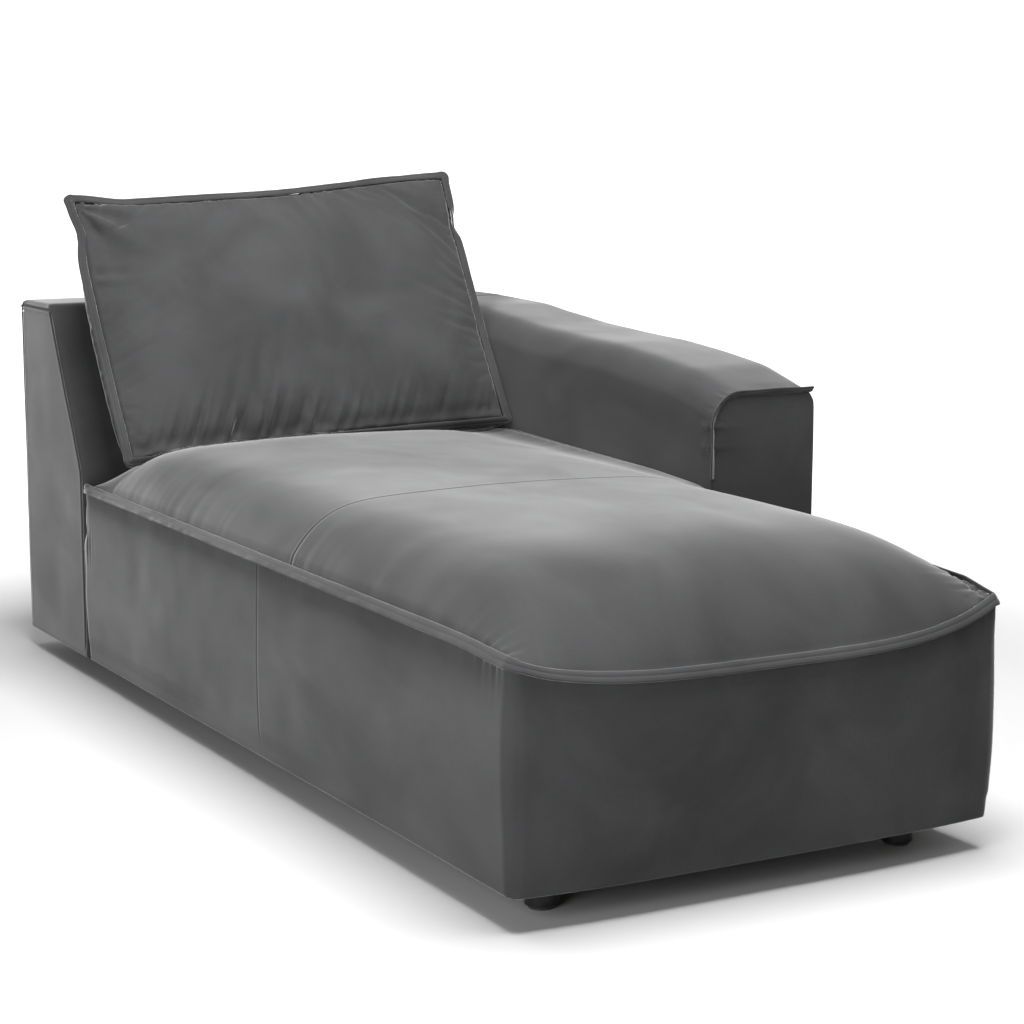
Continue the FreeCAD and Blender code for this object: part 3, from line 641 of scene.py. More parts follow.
def makeSeat():
    cover = makeSeatShape()
    openUnderside(cover, (seatLow.x, seatFront, seatLow.z), seatHigh, seat["hemWidth"])
    applySubdivision(cover, 1)
    wrinkleSeat(cover)
    makeFoam(cover, "seatFoam", seat["foamInset"], "seat_foam", seat["foamBottom"], None)
    finishCover(cover, "seat_cover")


flangeLook = {
    "width": 0.0115,
    "thickness": 0.0042,
    "seatTilt": 52.0,
    "step": 0.006,
}


def flangeSection(width, thickness):  # bright outer fold, with a stitched groove near the seam
    half = thickness / 2
    return [
        (-0.008, -half * 0.4), (-0.006, half * 0.9), (0.0012, half * 1.15), (0.0024, half * 0.5),
        (0.0036, half), (width * 0.65, half), (width * 0.92, half * 0.8), (width, 0.0),
        (width * 0.92, -half * 0.8), (width * 0.5, -half), (-0.006, -half),
    ]


def seatOutline(step):
    radius = seat["leftCorner"]
    x0, x1, y0, y1 = seatLow.x, seatHigh.x + seat["sideBulge"] * 0.9, seatFront, seatHigh.y
    path = [(x0, y) for y in np.arange(y1 - 0.004, y0 + radius, -step)]
    for angle in np.linspace(0, math.pi / 2, 7):
        path.append((x0 + radius - radius * math.cos(angle), y0 + radius - radius * math.sin(angle)))
    radius = seat["rightCorner"]
    path += [(x, y0) for x in np.arange(x0 + 0.02, x1 - radius, step)]
    for angle in np.linspace(math.pi / 2, 0, 7):
        path.append((x1 - radius + radius * math.cos(angle), y0 + radius - radius * math.sin(angle)))
    path += [(x1, y) for y in np.arange(y0 + radius + step, armLow.y - 0.01, step)]
    path = np.array(path)
    path[:, 1] -= seatBow(path[:, 0], path[:, 1])
    return path


def makeSeatFlange():
    path = seatOutline(flangeLook["step"])
    centre = np.column_stack([path, seamHeight(path[:, 0], path[:, 1])])
    run, distance = pathRun(centre, False)
    up = np.array([0.0, 0.0, 1.0])
    out = np.cross(run, up)
    out /= np.linalg.norm(out, axis=1)[:, None]
    tilt = math.radians(flangeLook["seatTilt"]) + 0.12 * lineNoise(distance, 0.06, 31)
    tilt += 0.05 * lineNoise(distance, 0.018, 32)
    rearEnd = 1 - smoothStep(distance / 0.03)
    tilt += 0.5 * rearEnd
    outward = out * np.cos(tilt)[:, None] - up * np.sin(tilt)[:, None]
    upward = out * np.sin(tilt)[:, None] + up * np.cos(tilt)[:, None]
    centre = centre + up * 0.0014 + out * 0.0008
    section = flangeSection(flangeLook["width"], flangeLook["thickness"])
    strip = stripAlong("seatFlange", centre, outward, upward, section, False)
    applySubdivision(strip, 1)
    finishPiece(strip, "daybed", velvet)
    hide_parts("seat_flange")


makeSeat()
makeSeatFlange()
print("seat made")


# back

back = {
    "cell": 0.022,
    "slopeStart": 0.39,
    "topDepth": 0.195,
    "corners": (0.006, 0.008, 0.045, 0.05),
    "sideRadius": 0.011,
    "sideSeam": 0.012,
    "foamInset": 0.009,
    "foamWall": 0.012,
}
backSlope = ((backHigh.y - backLow.y) - back["topDepth"]) / (backHigh.z - back["slopeStart"])


def backFront(z):
    return backLow.y + backSlope * np.clip(z - back["slopeStart"], 0, None)


def backInset(points):  # distance in from the outline of the back's side
    y, z = points[:, 1], points[:, 2]
    front = (y - backFront(z)) / math.hypot(1, backSlope)
    return np.minimum.reduce([front, backHigh.y - y, backHigh.z - z, z - backLow.z])


def makeBack():
    focus = (
        ((backLow.x, 0.02, 3), (backHigh.x, 0.02, 3)),
        ((backLow.y, 0.02, 5), (backHigh.y, 0.02, 4)),
        ((backHigh.z, 0.025, 5), (backLow.z, 0.01, 3)),
    )
    cover = denseBox("backCover", backLow, backHigh, back["cell"], focus)
    x, y, z = readPoints(cover).T.copy()
    depth = backHigh.y - backLow.y
    upright = back["sideRadius"] * smoothStep((backHigh.z - z - 0.01) / 0.05)
    level = back["sideRadius"] * smoothStep((np.minimum(y - backLow.y, backHigh.y - y) - 0.01) / 0.05)
    newX, newY = roundPair(x, y, backLow.x, backHigh.x, backLow.y, backHigh.y, (upright,) * 4)
    newX, newZ = roundPair(newX, z, backLow.x, backHigh.x, backLow.z, backHigh.z, (0, 0, level, level))
    newY, newZ = roundPair(newY, newZ, backLow.y, backHigh.y, backLow.z, backHigh.z, back["corners"])
    front = backFront(newZ)
    newY = front + (newY - backLow.y) / depth * (backHigh.y - front)
    newZ -= 0.015 * smoothStep((newX - 0.2) / 0.1) * smoothStep((newZ - 0.45) / 0.24)
    writePoints(cover, np.stack([newX, newY, newZ], 1))
    openUnderside(cover, backLow, backHigh, seat["hemWidth"])
    applySubdivision(cover, 1)
    points, normals = readPoints(cover), readNormals(cover)
    inset = backInset(points)
    push = 0.0016 * softNoise(points, (0.25, 0.2, 0.2), 21)
    push += 0.0004 * softNoise(points, (0.06, 0.06, 0.06), 22)
    side = np.abs(normals[:, 0]) > 0.6
    push -= np.where(side, 0.0022 * bell(inset - back["sideSeam"], 0.0022), 0)
    push += np.where(side, 0.0006 * bell(inset - back["sideSeam"] - 0.005, 0.003), 0)
    push *= smoothStep((points[:, 2] - backLow.z - 0.01) / 0.02)
    points += normals * push[:, None]
    points[:, 2] -= baseDrop(points[:, 1]) * smoothStep((0.2 - points[:, 2]) / 0.15)
    writePoints(cover, points)
    makeFoam(cover, "backFoam", back["foamInset"], "back_foam", backLow.z + 0.003, back["foamWall"])
    finishCover(cover, "back_cover")


makeBack()
print("back made")


# arm

arm = {
    "cell": 0.022,
    "innerRadius": 0.055,
    "outerRadius": 0.030,
    "frontBelly": 0.010,
    "flangeFrom": 0.445,
    "flangeTilt": -38.0,
    "foamInset": 0.009,
    "foamWall": 0.012,
}
armCrest = np.array([
    (0.0, 0.588), (0.05, 0.602), (0.12, 0.620), (0.24, 0.633), (0.37, 0.644), (0.51, 0.650), (0.67, 0.658),
    (0.82, 0.672), (0.9, 0.680), (1.12, 0.686),
])


def armTop(y):
    return np.interp(y - armLow.y, armCrest[:, 0], armCrest[:, 1])


def armFlangePath(step):
    radius, height = arm["innerRadius"], armTop(armLow.y)
    path = [(armLow.x, z) for z in np.arange(arm["flangeFrom"], height - radius, step)]
    for angle in np.linspace(0, math.pi / 2, 15):
        path.append((armLow.x + radius * (1 - math.cos(angle)), height - radius * (1 - math.sin(angle))))
    path += [(x, height) for x in np.arange(armLow.x + radius + step, armHigh.x - 0.001, step)]
    path = np.array(path)
    return np.column_stack([path[:, 0], np.full(len(path), armLow.y), path[:, 1]])


def makeArm():
    focus = (
        ((armLow.x, 0.03, 3.5), (armHigh.x, 0.02, 3)),
        ((armLow.y, 0.02, 4),),
        ((armHigh.z, 0.09, 2.5), (armLow.z, 0.01, 3)),
    )
    cover = denseBox("armCover", armLow, armHigh, arm["cell"], focus)
    x, y, z = readPoints(cover).T.copy()
    radii = (0.006, 0.006, arm["outerRadius"], arm["innerRadius"])
    newX, newZ = roundPair(x, z, armLow.x, armHigh.x, armLow.z, armHigh.z, radii)
    share = (y - armLow.y) / (armHigh.y - armLow.y)
    newY = armLow.y + share * (backFront(newZ) - 0.001 - armLow.y)
    lowered = (armTop(newY) - armHigh.z) * smoothStep((newZ - 0.3) / (armHigh.z - 0.3))
    across = np.clip((newX - armLow.x) / (armHigh.x - armLow.x), 0, 1)
    belly = arm["frontBelly"] * np.sin(np.pi * across ** 0.8) * smoothStep((armHigh.z - newZ) / 0.08)
    newY = np.where(y < armLow.y + 1e-5, newY - belly * 0.5, newY)
    writePoints(cover, np.stack([newX, newY, newZ + lowered], 1))
    openUnderside(cover, armLow, armHigh, seat["hemWidth"])
    applySubdivision(cover, 1)
    points, normals = readPoints(cover), readNormals(cover)
    push = 0.0016 * softNoise(points, (0.2, 0.25, 0.2), 41)
    push += 0.0004 * softNoise(points, (0.06, 0.06, 0.06), 42)
    path = armFlangePath(0.006)
    distance = pathRun(path, False)[1]
    gap = np.hypot(points[:, :1] - path[:, 0], points[:, 2:] - path[:, 2])
    nearest = gap.argmin(axis=1)
    nearFront = (points[:, 1] < armLow.y + 0.03) & (points[:, 2] > 0.4)
    strength = np.where(normals[:, 1] < -0.5, 0.0024, 0.0012) * np.exp(-gap.min(axis=1) / 0.02)
    push += np.where(nearFront, strength * gathers(distance[nearest], 0.011, 45), 0)
    push *= smoothStep((points[:, 2] - armLow.z - 0.01) / 0.02)
    writePoints(cover, points + normals * push[:, None])
    makeFoam(cover, "armFoam", arm["foamInset"], "arm_foam", armLow.z + 0.003, arm["foamWall"])
    finishCover(cover, "arm_cover")


def makeArmFlange():
    centre = armFlangePath(0.005)
    run, distance = pathRun(centre, False)
    forward = np.array([0.0, -1.0, 0.0])
    out = np.cross(forward, run)
    out /= np.linalg.norm(out, axis=1)[:, None]
    tilt = math.radians(arm["flangeTilt"]) + 0.15 * lineNoise(distance, 0.05, 51)
    outward = out * np.cos(tilt)[:, None] - forward * np.sin(tilt)[:, None]
    upward = out * np.sin(tilt)[:, None] + forward * np.cos(tilt)[:, None]
    centre = centre + forward * 0.0005 - out * 0.001
    section = flangeSection(0.0085, 0.0036)
    strip = stripAlong("armFlange", centre, outward, upward, section, False)
    applySubdivision(strip, 1)
    finishPiece(strip, "daybed", velvet)
    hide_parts("arm_flange")


makeArm()
makeArmFlange()
print("arm made")


# back cushion

cushionLow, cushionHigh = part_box("cushion_cover")
zipLow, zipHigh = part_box("zip_chain")

cushion = {
    "bottomLeft": (-0.459, 0.503, 0.430),
    "bottomRight": (0.275, 0.415, 0.474),
    "topLeft": (-0.464, 0.789, 0.896),
    "topRight": (0.291, 0.711, 0.935),
    "bottomBow": 0.006,
    "topSag": 0.0135,
    "leftPull": 0.010,
    "border": 0.032,
    "startBulge": 0.048,
    "cell": 0.018,
    "voxel": 0.0072,
    "pressure": 4.0,
    "spareCloth": -0.012,
    "frames": 20,
    "cap": 0.024,
    "backGap": 0.005,
    "fillingScale": 0.95,
    "fillingThin": 0.10,
    "fillingShare": 0.3,
}


def coons(u, v, bottom, top, left, right):  # a patch between four edge curves
    corner = [bottom(0 * u), bottom(0 * u + 1), top(0 * u), top(0 * u + 1)]
    u, v = u[:, None], v[:, None]
    ruled = (1 - v) * bottom(u[:, 0]) + v * top(u[:, 0]) + (1 - u) * left(v[:, 0]) + u * right(v[:, 0])
    return ruled - ((1 - u) * (1 - v) * corner[0] + u * (1 - v) * corner[1] + (1 - u) * v * corner[2]
                    + u * v * corner[3])


def between(start, end, share):
    return np.array(start) * (1 - share[:, None]) + np.array(end) * share[:, None]


def bottomEdge(u):
    line = between(cushion["bottomLeft"], cushion["bottomRight"], u)
    line[:, 2] += cushion["bottomBow"] * np.sin(np.pi * u)
    return line


def topEdge(u):
    line = between(cushion["topLeft"], cushion["topRight"], u)
    line[:, 2] -= cushion["topSag"] * smoothStep((u - 0.01) / 0.14) * smoothStep((0.95 - u) / 0.45)
    return line


def leftEdge(v):
    line = between(cushion["bottomLeft"], cushion["topLeft"], v)
    line[:, 0] += cushion["leftPull"] * (bell(v - 0.86, 0.07) - 0.25 * np.sin(np.pi * v))
    return line


def rightEdge(v):
    line = between(cushion["bottomRight"], cushion["topRight"], v)
    line[:, 0] -= 0.006 * np.sin(np.pi * v) + 0.005 * bell(v - 0.78, 0.05)
    return line


panelAcross = np.array(cushion["bottomRight"]) - np.array(cushion["bottomLeft"])
panelUp = np.array(cushion["topLeft"]) - np.array(cushion["bottomLeft"])
panelNormal = np.cross(panelAcross, panelUp)
panelNormal /= np.linalg.norm(panelNormal)


def seamLoop(step):  # the seam round the front panel, anticlockwise seen from the front
    across = np.arange(0, 1, step / 0.74)
    upward = np.arange(0, 1, step / 0.53)
    return np.vstack([bottomEdge(across), rightEdge(upward), topEdge(1 - across), leftEdge(1 - upward)])


def underside(x, y):  # lowest height of the cushion: on the seat in front, level round the zip behind
    level = np.interp(y, (0.50, 0.585, 0.612), (0.0, 0.455, zipHigh.z + 0.0006))
    return np.maximum(seatTop(x, y) + 0.0015, level)


def frontPlace(points):  # distances across, up and out of the front panel
    offset = points - np.array(cushion["bottomLeft"])
    acrossUnit = panelAcross / np.linalg.norm(panelAcross)
    upUnit = np.cross(panelNormal, acrossUnit)
    return offset @ acrossUnit, offset @ upUnit, offset @ panelNormal


def restCushion(points):  # flat where it lies on the seat, the back and the arm
    across, up, out = frontPlace(points)
    behind = np.clip(-out, 0, None)
    share = np.clip(across / 0.74, 0, 1)
    rim = topEdge(share)[:, 2] + 0.004
    rim -= 0.35 * np.clip(behind, 0, 0.04) + 0.2 * np.clip(behind - 0.04, 0, None)
    limit = np.where(out < 0, rim, 9)
    points[:, 2] = np.minimum(points[:, 2], limit)
    leftRim = leftEdge(np.clip(up / 0.53, 0, 1))[:, 0] - 0.004 + 0.55 * np.clip(behind - 0.030, 0, 0.1)
    points[:, 0] = np.where(out < 0, np.maximum(points[:, 0], leftRim), points[:, 0])
    points[:, 1] = np.minimum(points[:, 1], backFront(points[:, 2]) - cushion["backGap"])
    points[:, 2] = np.maximum(points[:, 2], underside(points[:, 0], points[:, 1]))
    points[:, 0] = np.minimum(points[:, 0], armLow.x - 0.003)
    return points


def makeCushionBody():
    body = denseBox("cushionCover", (0, 0, 0), (0.74, 0.2, 0.53), cushion["cell"])
    points = readPoints(body)
    u, w, v = points[:, 0] / 0.74, points[:, 1] / 0.2, points[:, 2] / 0.53
    front = coons(u, v, bottomEdge, topEdge, leftEdge, rightEdge)
    crown = (1 - np.abs(2 * u - 1) ** 3.4) * (1 - np.abs(2 * v - 1) ** 3.0) * (1.35 - 0.7 * v)
    depth = np.clip(w / 0.2, 0, 1)
    border = front - panelNormal * (cushion["border"] * depth)[:, None]
    border += panelNormal * (cushion["startBulge"] * crown * (1 - depth))[:, None]
    rearZ = zipHigh.z + 0.012 + v * (cushionHigh.z - 0.035 - zipHigh.z - 0.012)
    rear = np.column_stack([
        cushionLow.x + 0.035 + u * (cushionHigh.x - cushionLow.x - 0.06),
        backFront(rearZ) - 0.016,
        rearZ,
    ])
    share = smoothStep((w - 0.2) / 0.8)[:, None]
    writePoints(body, border * (1 - share) + rear * share)
    makeActive(body)
    remesh = body.modifiers.new("remesh", "REMESH")
    remesh.mode = "VOXEL"
    remesh.voxel_size = cushion["voxel"]
    bpy.ops.object.modifier_apply(modifier=remesh.name)
    return body


def nearSeam(points, loop):
    distance = np.full(len(points), 9.0)
    for start in range(0, len(loop), 40):
        some = loop[start:start + 40]
        gap = np.linalg.norm(points[:, None] - some[None], axis=2).min(axis=1)
        distance = np.minimum(distance, gap)
    return distance


def inflate(body):
    start = readPoints(body)
    seamGap = nearSeam(start, seamLoop(0.004))
    group = body.vertex_groups.new(name="seam")
    held = np.where(seamGap < cushion["voxel"] * 1.05)[0]
    group.add([int(index) for index in held], 1.0, "REPLACE")
    makeActive(body)
    cloth = body.modifiers.new("cloth", "CLOTH")
    settings = cloth.settings
    settings.quality = 6
    settings.mass = 0.3
    settings.tension_stiffness = 12
    settings.compression_stiffness = 12
    settings.shear_stiffness = 5
    settings.bending_stiffness = 0.6
    settings.use_pressure = True
    settings.uniform_pressure_force = cushion["pressure"]
    settings.vertex_group_mass = group.name
    settings.pin_stiffness = 1
    settings.shrink_min = cushion["spareCloth"]
    settings.effector_weights.gravity = 0
    cloth.collision_settings.use_collision = False
    cloth.collision_settings.use_self_collision = False
    cloth.point_cache.frame_start = 1
    cloth.point_cache.frame_end = cushion["frames"]
    scene = bpy.context.scene
    for step in range(1, cushion["frames"] + 1):
        scene.frame_set(step)
    bpy.ops.object.modifier_apply(modifier=cloth.name)
    scene.frame_set(1)
    body.vertex_groups.clear()
    moved = readPoints(body) - start
    reach = np.linalg.norm(moved, axis=1)
    kept = cushion["cap"] * np.tanh(reach / cushion["cap"]) / np.maximum(reach, 1e-9)
    writePoints(body, start + moved * kept[:, None])


def gatherCushion(cover):
    points, normals = readPoints(cover), readNormals(cover)
    across, up = frontPlace(points)[:2]
    width = np.linalg.norm(panelAcross)
    facing = smoothStep((normals @ panelNormal - 0.1) / 0.5)
    loop = seamLoop(0.004)
    gap = nearSeam(points, loop)
    push = np.zeros(len(points))
    reach = 0.030 + 0.016 * (lineNoise(across, 0.045, 61) + 1)
    slant = across - 0.4 * up
    bottomFolds = gathers(slant, 0.021, 62) * 0.0088 * bell(up - 0.036, reach)
    push += bottomFolds * smoothStep((up - 0.004) / 0.028)
    push -= 0.003 * bell(up - 0.024, 0.014)
    leftReach = 0.03 + 0.03 * (lineNoise(up, 0.06, 65) + 1)
    fromLeft = np.clip(across - 0.004, 0, None)
    leftFolds = gathers(up + 0.18 * across, 0.032, 66) * 0.0034 * np.exp(-(fromLeft / leftReach) ** 2)
    push += leftFolds * smoothStep(fromLeft / 0.01)
    fromTop = 0.53 - up
    topFolds = gathers(across, 0.013, 68) * 0.0016 * np.exp(-np.clip(fromTop, 0, None) / 0.016)
    push += topFolds
    rightFolds = gathers(up, 0.02, 70) * 0.0014 * np.exp(-np.clip(width - across, 0, None) / 0.02)
    push += rightFolds
    ear = np.hypot(across, fromTop)
    angle = np.arctan2(fromTop, across + 1e-6)
    push += 0.0045 * np.sin(angle * 9 + 0.6) * np.exp(-((ear - 0.07) / 0.06) ** 2)
    push *= facing
    side = 1 - facing
    borderFolds = gathers(up, 0.017, 72) * 0.0022 * (across < 0.1)
    borderFolds += gathers(across, 0.02, 73) * 0.002 * (up < 0.08)
    push += side * borderFolds * np.exp(-gap / 0.03)
    push -= 0.0045 * bell(gap - 0.004, 0.0045) * facing
    push += 0.0020 * softNoise(points, (0.14, 0.14, 0.14), 75)
    push += 0.0006 * softNoise(points, (0.045, 0.045, 0.045), 76)
    writePoints(cover, restCushion(points + normals * push[:, None]))


def makeFilling(cover):  # the cover's shape, drawn in towards its middle and thinned
    filling = copyPiece(cover, "cushionFilling")
    points = readPoints(filling)
    middle = (points.min(axis=0) + points.max(axis=0)) / 2
    offset = points - middle
    depth = (offset @ panelNormal)[:, None]
    drawnIn = offset * cushion["fillingScale"] - panelNormal * depth * cushion["fillingThin"]
    writePoints(filling, middle + drawnIn)
    makeActive(filling)
    lighter = filling.modifiers.new("lighter", "DECIMATE")
    lighter.ratio = cushion["fillingShare"]
    bpy.ops.object.modifier_apply(modifier=lighter.name)
    finishPiece(filling, "back_cushion", finishes["filling"])
    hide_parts("cushion_filling")


def makeCushion():
    cover = makeCushionBody()
    inflate(cover)
    writePoints(cover, restCushion(readPoints(cover)))
    applySubdivision(cover, 1)
    gatherCushion(cover)
    makeFilling(cover)
    finishPiece(cover, "back_cushion", velvet)
    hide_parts("cushion_cover")


def makeCushionFlange():
    centre = seamLoop(0.0045)
    run, distance = pathRun(centre, True)
    out = np.cross(run, panelNormal)
    out /= np.linalg.norm(out, axis=1)[:, None]
    width = np.linalg.norm(panelAcross)
    tilt = 0.25 + 0.16 * lineNoise(distance, 0.06, 81) + 0.06 * lineNoise(distance, 0.02, 82)
    onBottom = distance < width
    tilt = np.where(onBottom, 0.9 + 0.2 * lineNoise(distance, 0.05, 83), tilt)
    right = np.array(cushion["topRight"]) - centre
    fromTopRight = np.linalg.norm(right, axis=1)
    onRight = (distance > width) & (distance < width + 0.53)
    tilt = np.where(onRight, tilt + 1.1 * bell(fromTopRight - 0.105, 0.025), tilt)
    corners = [cushion[name] for name in ("bottomLeft", "topLeft", "topRight", "bottomRight")]
    toCorner = np.linalg.norm(centre[:, None] - np.array(corners)[None], axis=2).min(axis=1)
    reach = 1 + 0.35 * bell(toCorner, 0.008)
    outward = out * (np.cos(tilt) * reach)[:, None] - panelNormal * np.sin(tilt)[:, None]
    upward = out * np.sin(tilt)[:, None] + panelNormal * np.cos(tilt)[:, None]
    section = flangeSection(0.009, 0.0042)
    strip = stripAlong("cushionFlange", centre + panelNormal * 0.001, outward, upward, section, True)
    applySubdivision(strip, 1)
    points = readPoints(strip)
    points[:, 2] = np.maximum(points[:, 2], seatTop(points[:, 0], points[:, 1]) + 0.001)
    points[:, 0] = np.minimum(points[:, 0], armHigh.x)
    writePoints(strip, points)
    finishPiece(strip, "back_cushion", velvet)
    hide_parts("cushion_flange")


makeCushion()
makeCushionFlange()
print("cushion made")


# zip

zipLook = {
    "tapeThickness": 0.0007,
    "teethWidth": 0.0052,
    "toothPitch": 0.0021,
    "toothLength": 0.0012,
}


def makeZip():
    width = zipHigh.y - zipLow.y
    middleY = (zipHigh.y + zipLow.y) / 2
    length = zipHigh.x - zipLow.x
    clearSelection()
    bpy.ops.mesh.primitive_grid_add(x_subdivisions=160, y_subdivisions=12, size=1, location=(0, 0, 0))
    tape = bpy.context.object
    tape.name = "zipTape"
    points = readPoints(tape)
    points[:, 0] = zipLow.x + (points[:, 0] + 0.5) * length
    points[:, 1] = middleY + points[:, 1] * width
    points[:, 2] = zipHigh.z - 0.0002 - 0.0002 * (1 + lineNoise(points[:, 0], 0.02, 91))
    writePoints(tape, points)
    applyThickness(tape, zipLook["tapeThickness"])
    finishPiece(tape, "back_cushion", finishes["zip_tape"])
    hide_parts("zip_chain")
    clearSelection()
    bpy.ops.mesh.primitive_cube_add(size=1, location=(zipLow.x + 0.004, middleY, zipHigh.z - 0.0012))
    teeth = bpy.context.object
    teeth.name = "zipTeeth"
    teeth.scale = (zipLook["toothLength"], zipLook["teethWidth"], 0.0009)
    bpy.ops.object.transform_apply(location=True, rotation=True, scale=True)
    editAll(teeth)
    bpy.ops.mesh.bevel(offset=0.0003, segments=1, affect="EDGES")
    bpy.ops.object.mode_set(mode="OBJECT")
    rows = teeth.modifiers.new("row", "ARRAY")
    rows.use_relative_offset = False
    rows.use_constant_offset = True
    rows.constant_offset_displace = (zipLook["toothPitch"], 0, 0)
    rows.count = int((length - 0.008) / zipLook["toothPitch"])
    bpy.ops.object.modifier_apply(modifier=rows.name)
    finishPiece(teeth, "back_cushion", finishes["zip_metal"])


makeZip()
print("zip made")


# springs under the seat

spring = {
    "loopRadius": 0.020,
    "straight": 0.016,
    "wireRadius": 0.0018,
    "loopSteps": 8,
}


def springPath(low, high, y, z):  # one zigzag spring from rail to rail
    radius, half = spring["loopRadius"], spring["straight"] / 2
    turns = int((high - low - 0.05) / (2 * radius))
    first = (low + high) / 2 - turns * radius
    path = [(low, y), (low + (first - low) * 0.5, y)]
    side = 1
    for turn in range(turns):
        x = first + turn * 2 * radius
        for angle in np.linspace(math.pi, 0, spring["loopSteps"]):
            reach = half + radius * math.sin(angle)
            path.append((x + radius + radius * math.cos(angle), y + side * reach))
        side = -side
    last = first + turns * 2 * radius
    path += [(last + (high - last) * 0.5, y), (high, y)]
    path = np.array(path)
    return np.column_stack([path, np.full(len(path), z)])


def makeSprings():
    low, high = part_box("seat_springs")
    reach = spring["straight"] / 2 + spring["loopRadius"] + spring["wireRadius"]
    count = 10
    radius = spring["wireRadius"]
    section = [(radius * math.cos(a), radius * math.sin(a)) for a in np.linspace(0, 2 * math.pi, 9)[:-1]]
    made = []
    for y in np.linspace(low.y + reach, high.y - reach, count):
        centre = springPath(low.x, high.x, y, (low.z + high.z) / 2)
        run = pathRun(centre, False)[0]
        up = np.tile(np.array([0.0, 0.0, 1.0]), (len(centre), 1))
        out = np.cross(run, up)
        made.append(stripAlong("seatSprings", centre, out, up, section, False))
    clearSelection()
    for piece in made:
        piece.select_set(True)
    bpy.context.view_layer.objects.active = made[0]
    bpy.ops.object.join()
    springs = bpy.context.object
    springs.name = "seatSprings"
    finishPiece(springs, "daybed", finishes["spring_steel"])
    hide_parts("seat_springs")


makeSprings()
print("springs made")


# dust covers under the frame

dust = {
    "cell": 0.012,
    "sag": 0.0012,
    "legGap": 0.004,
    "thickness": 0.0008,
}


def legBoxes():
    names = [name for name in frame["nodes"] if name.startswith("leg_")]
    return [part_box(name) for name in names if name not in ("leg_glides", "leg_studs", "leg_tee_nuts")]


def makeDustCover(node, name, seed):
    low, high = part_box(node)
    width, length = high.x - low.x, high.y - low.y
    clearSelection()
    columns = max(4, int(width / dust["cell"]))
    rows = max(4, int(length / dust["cell"]))
    bpy.ops.mesh.primitive_grid_add(x_subdivisions=columns, y_subdivisions=rows, size=1)
    sheet = bpy.context.object
    sheet.name = name
    points = readPoints(sheet)
    points[:, 0] = (low.x + high.x) / 2 + points[:, 0] * width
    points[:, 1] = (low.y + high.y) / 2 + points[:, 1] * length
    inset = np.minimum.reduce([
        points[:, 0] - low.x, high.x - points[:, 0], points[:, 1] - low.y, high.y - points[:, 1]
    ])
    sag = dust["sag"] * smoothStep(inset / 0.08) * (0.7 + 0.3 * softNoise(points, (0.12, 0.12, 0.12), seed))
    points[:, 2] = high.z - sag
    writePoints(sheet, points)
    centres = faceCentres(sheet)
    hole = np.zeros(len(centres), bool)
    for legLow, legHigh in legBoxes():
        middle = ((legLow.x + legHigh.x) / 2, (legLow.y + legHigh.y) / 2)
        radius = (legHigh.x - legLow.x) / 2 + dust["legGap"] + dust["cell"] * 0.7
        hole |= np.hypot(centres[:, 0] - middle[0], centres[:, 1] - middle[1]) < radius
    if hole.any():
        deleteFaces(sheet, hole)
    applyThickness(sheet, dust["thickness"])
    finishPiece(sheet, "daybed", finishes["dust_cloth"])
    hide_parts(node)


makeDustCover("seat_dust_cover", "seatDustCover", 101)
makeDustCover("back_dust_cover", "backDustCover", 102)
makeDustCover("arm_dust_cover", "armDustCover", 103)
print("dust covers made")


# camera, floor and light

view = {
    "place": (-1.894, -3.536, 1.025),
    "yaw": 28.87,
    "pitch": 9.21,
    "lens": 82.79,
}

# direction, exponent and strength of each soft lobe of the studio's light
studioLobes = [
    ((0.70, 0.70, 0.0), 3, 1.0), ((0.1, 1, 0.0), 3, 0.72), ((0, 0.7, 0.7), 4, 0.5), ((0.7, 0, 0.7), 4, 0.1),
]
# name, place, size and power of each lamp
lamps = [
    ("overhead", (-0.4, 1.0, 3.4), 3.0, 40),
    ("overFront", (-0.1, -0.9, 3.2), 2.0, 235),
    ("leftSoftbox", (-2.7, -2.2, 1.0), 1.4, 78),
]


def makeCamera():
    bpy.ops.object.camera_add(
        location=view["place"], rotation=(math.radians(90 - view["pitch"]), 0, math.radians(-view["yaw"]))
    )
    camera = bpy.context.object
    camera.data.lens = view["lens"]
    camera.data.sensor_width = 36
    bpy.context.scene.camera = camera


# the floor's colour runs from a painted shade near the middle to a painted light at the rim
studioFloor = {
    "radius": 2.5,
    "middle": (-0.2, -0.2, 0),
    "paintedShadeReach": (1.1, 2.4),
    "paintedShadeToLight": (0.44, 0.95),
}


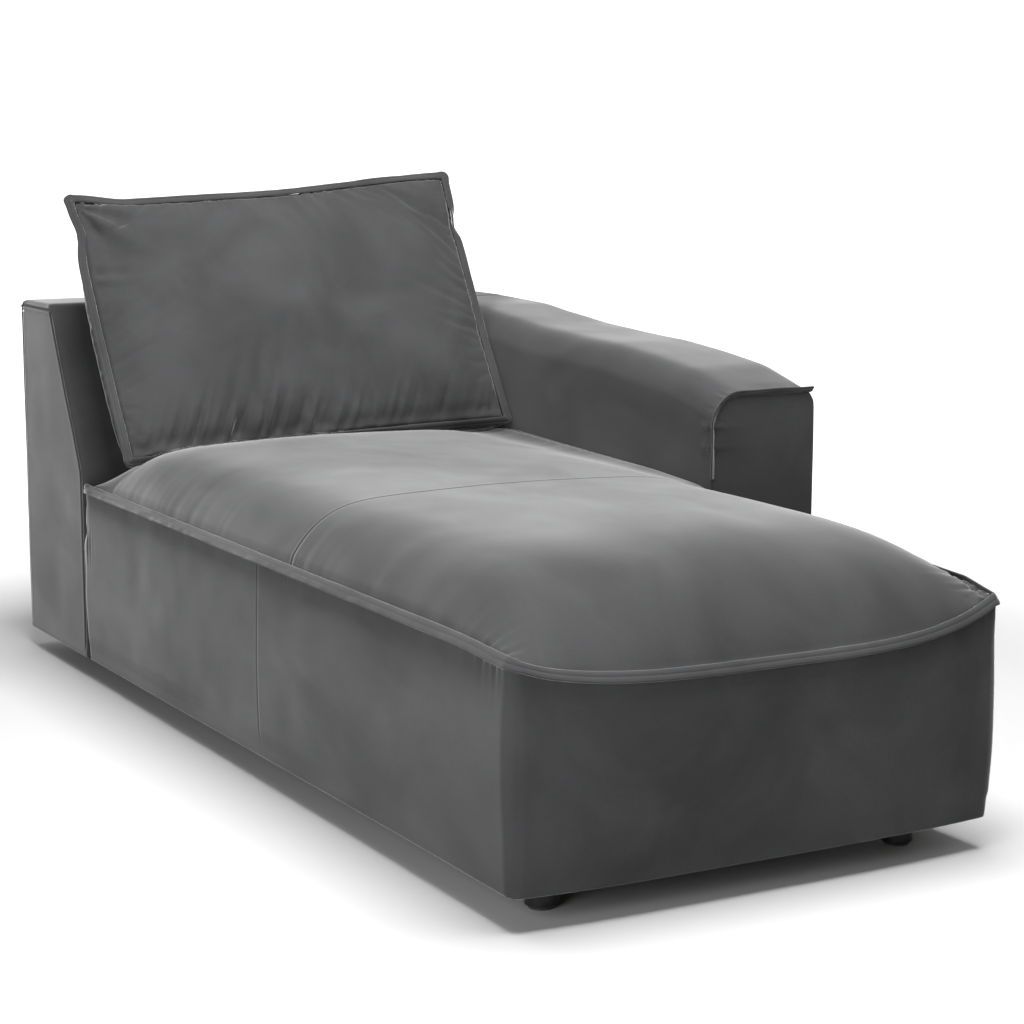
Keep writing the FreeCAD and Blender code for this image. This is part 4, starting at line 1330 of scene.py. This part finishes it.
def makeFloor():  # painted shade and painted light: the floor's colour is darker near the middle, a painted shadow round the daybed, and paler towards its rim, a painted light where less light falls
    clearSelection()
    bpy.ops.mesh.primitive_circle_add(
        vertices=96, radius=studioFloor["radius"], fill_type="NGON", location=studioFloor["middle"]
    )
    floor = bpy.context.object
    floor.name = "floor"
    bpy.ops.object.transform_apply(location=True, rotation=True, scale=True)
    material, nodes, links, shader, place = newMaterial("paleFloorWithPaintedShade")
    distance = nodes.new("ShaderNodeVectorMath")
    distance.operation = "LENGTH"
    links.new(place.outputs["Object"], distance.inputs[0])
    paintedShadeToLight = nodes.new("ShaderNodeMapRange")
    paintedShadeToLight.interpolation_type = "SMOOTHSTEP"
    paintedShadeToLight.inputs["From Min"].default_value = studioFloor["paintedShadeReach"][0]
    paintedShadeToLight.inputs["From Max"].default_value = studioFloor["paintedShadeReach"][1]
    paintedShadeToLight.inputs["To Min"].default_value = studioFloor["paintedShadeToLight"][0]
    paintedShadeToLight.inputs["To Max"].default_value = studioFloor["paintedShadeToLight"][1]
    links.new(distance.outputs["Value"], paintedShadeToLight.inputs["Value"])
    # painted shade near the middle and painted light towards the rim, set into the floor's base colour
    links.new(paintedShadeToLight.outputs["Result"], shader.inputs["Base Color"])
    shader.inputs["Roughness"].default_value = 0.9
    shader.inputs["Specular IOR Level"].default_value = 0.1
    floor.data.materials.append(material)


def makeWorld():  # a white studio, brightest behind and above
    world = bpy.data.worlds.new("studio")
    bpy.context.scene.world = world
    world.use_nodes = True
    nodes, links = world.node_tree.nodes, world.node_tree.links
    background = nodes["Background"]
    background.inputs["Color"].default_value = (1, 1, 1, 1)
    place = nodes.new("ShaderNodeTexCoord")
    total = None
    for direction, exponent, strength in studioLobes:
        facing = nodes.new("ShaderNodeVectorMath")
        facing.operation = "DOT_PRODUCT"
        facing.inputs[1].default_value = Vector(direction).normalized()
        links.new(place.outputs["Generated"], facing.inputs[0])
        steps = []
        for operation, value in (("MAXIMUM", 0), ("POWER", exponent), ("MULTIPLY", strength), ("ADD", 0)):
            step = nodes.new("ShaderNodeMath")
            step.operation = operation
            step.inputs[1].default_value = value
            links.new((steps[-1] if steps else facing).outputs["Value"], step.inputs[0])
            steps.append(step)
        if total is not None:
            links.new(total, steps[-1].inputs[1])
        total = steps[-1].outputs["Value"]
    links.new(total, background.inputs["Strength"])
    bpy.context.scene.view_settings.view_transform = "Standard"


def areaLight(name, place, target, size, power):
    clearSelection()
    bpy.ops.object.light_add(type="AREA", location=place)
    lamp = bpy.context.object
    lamp.name = name
    lamp.data.shape = "SQUARE"
    lamp.data.size = size
    lamp.data.energy = power
    direction = Vector(target) - Vector(place)
    lamp.rotation_euler = direction.to_track_quat("-Z", "Y").to_euler()


makeCamera()
makeFloor()
makeWorld()
for name, place, size, power in lamps:
    areaLight(name, place, (0, 0, 0.3), size, power)
print("stage made")
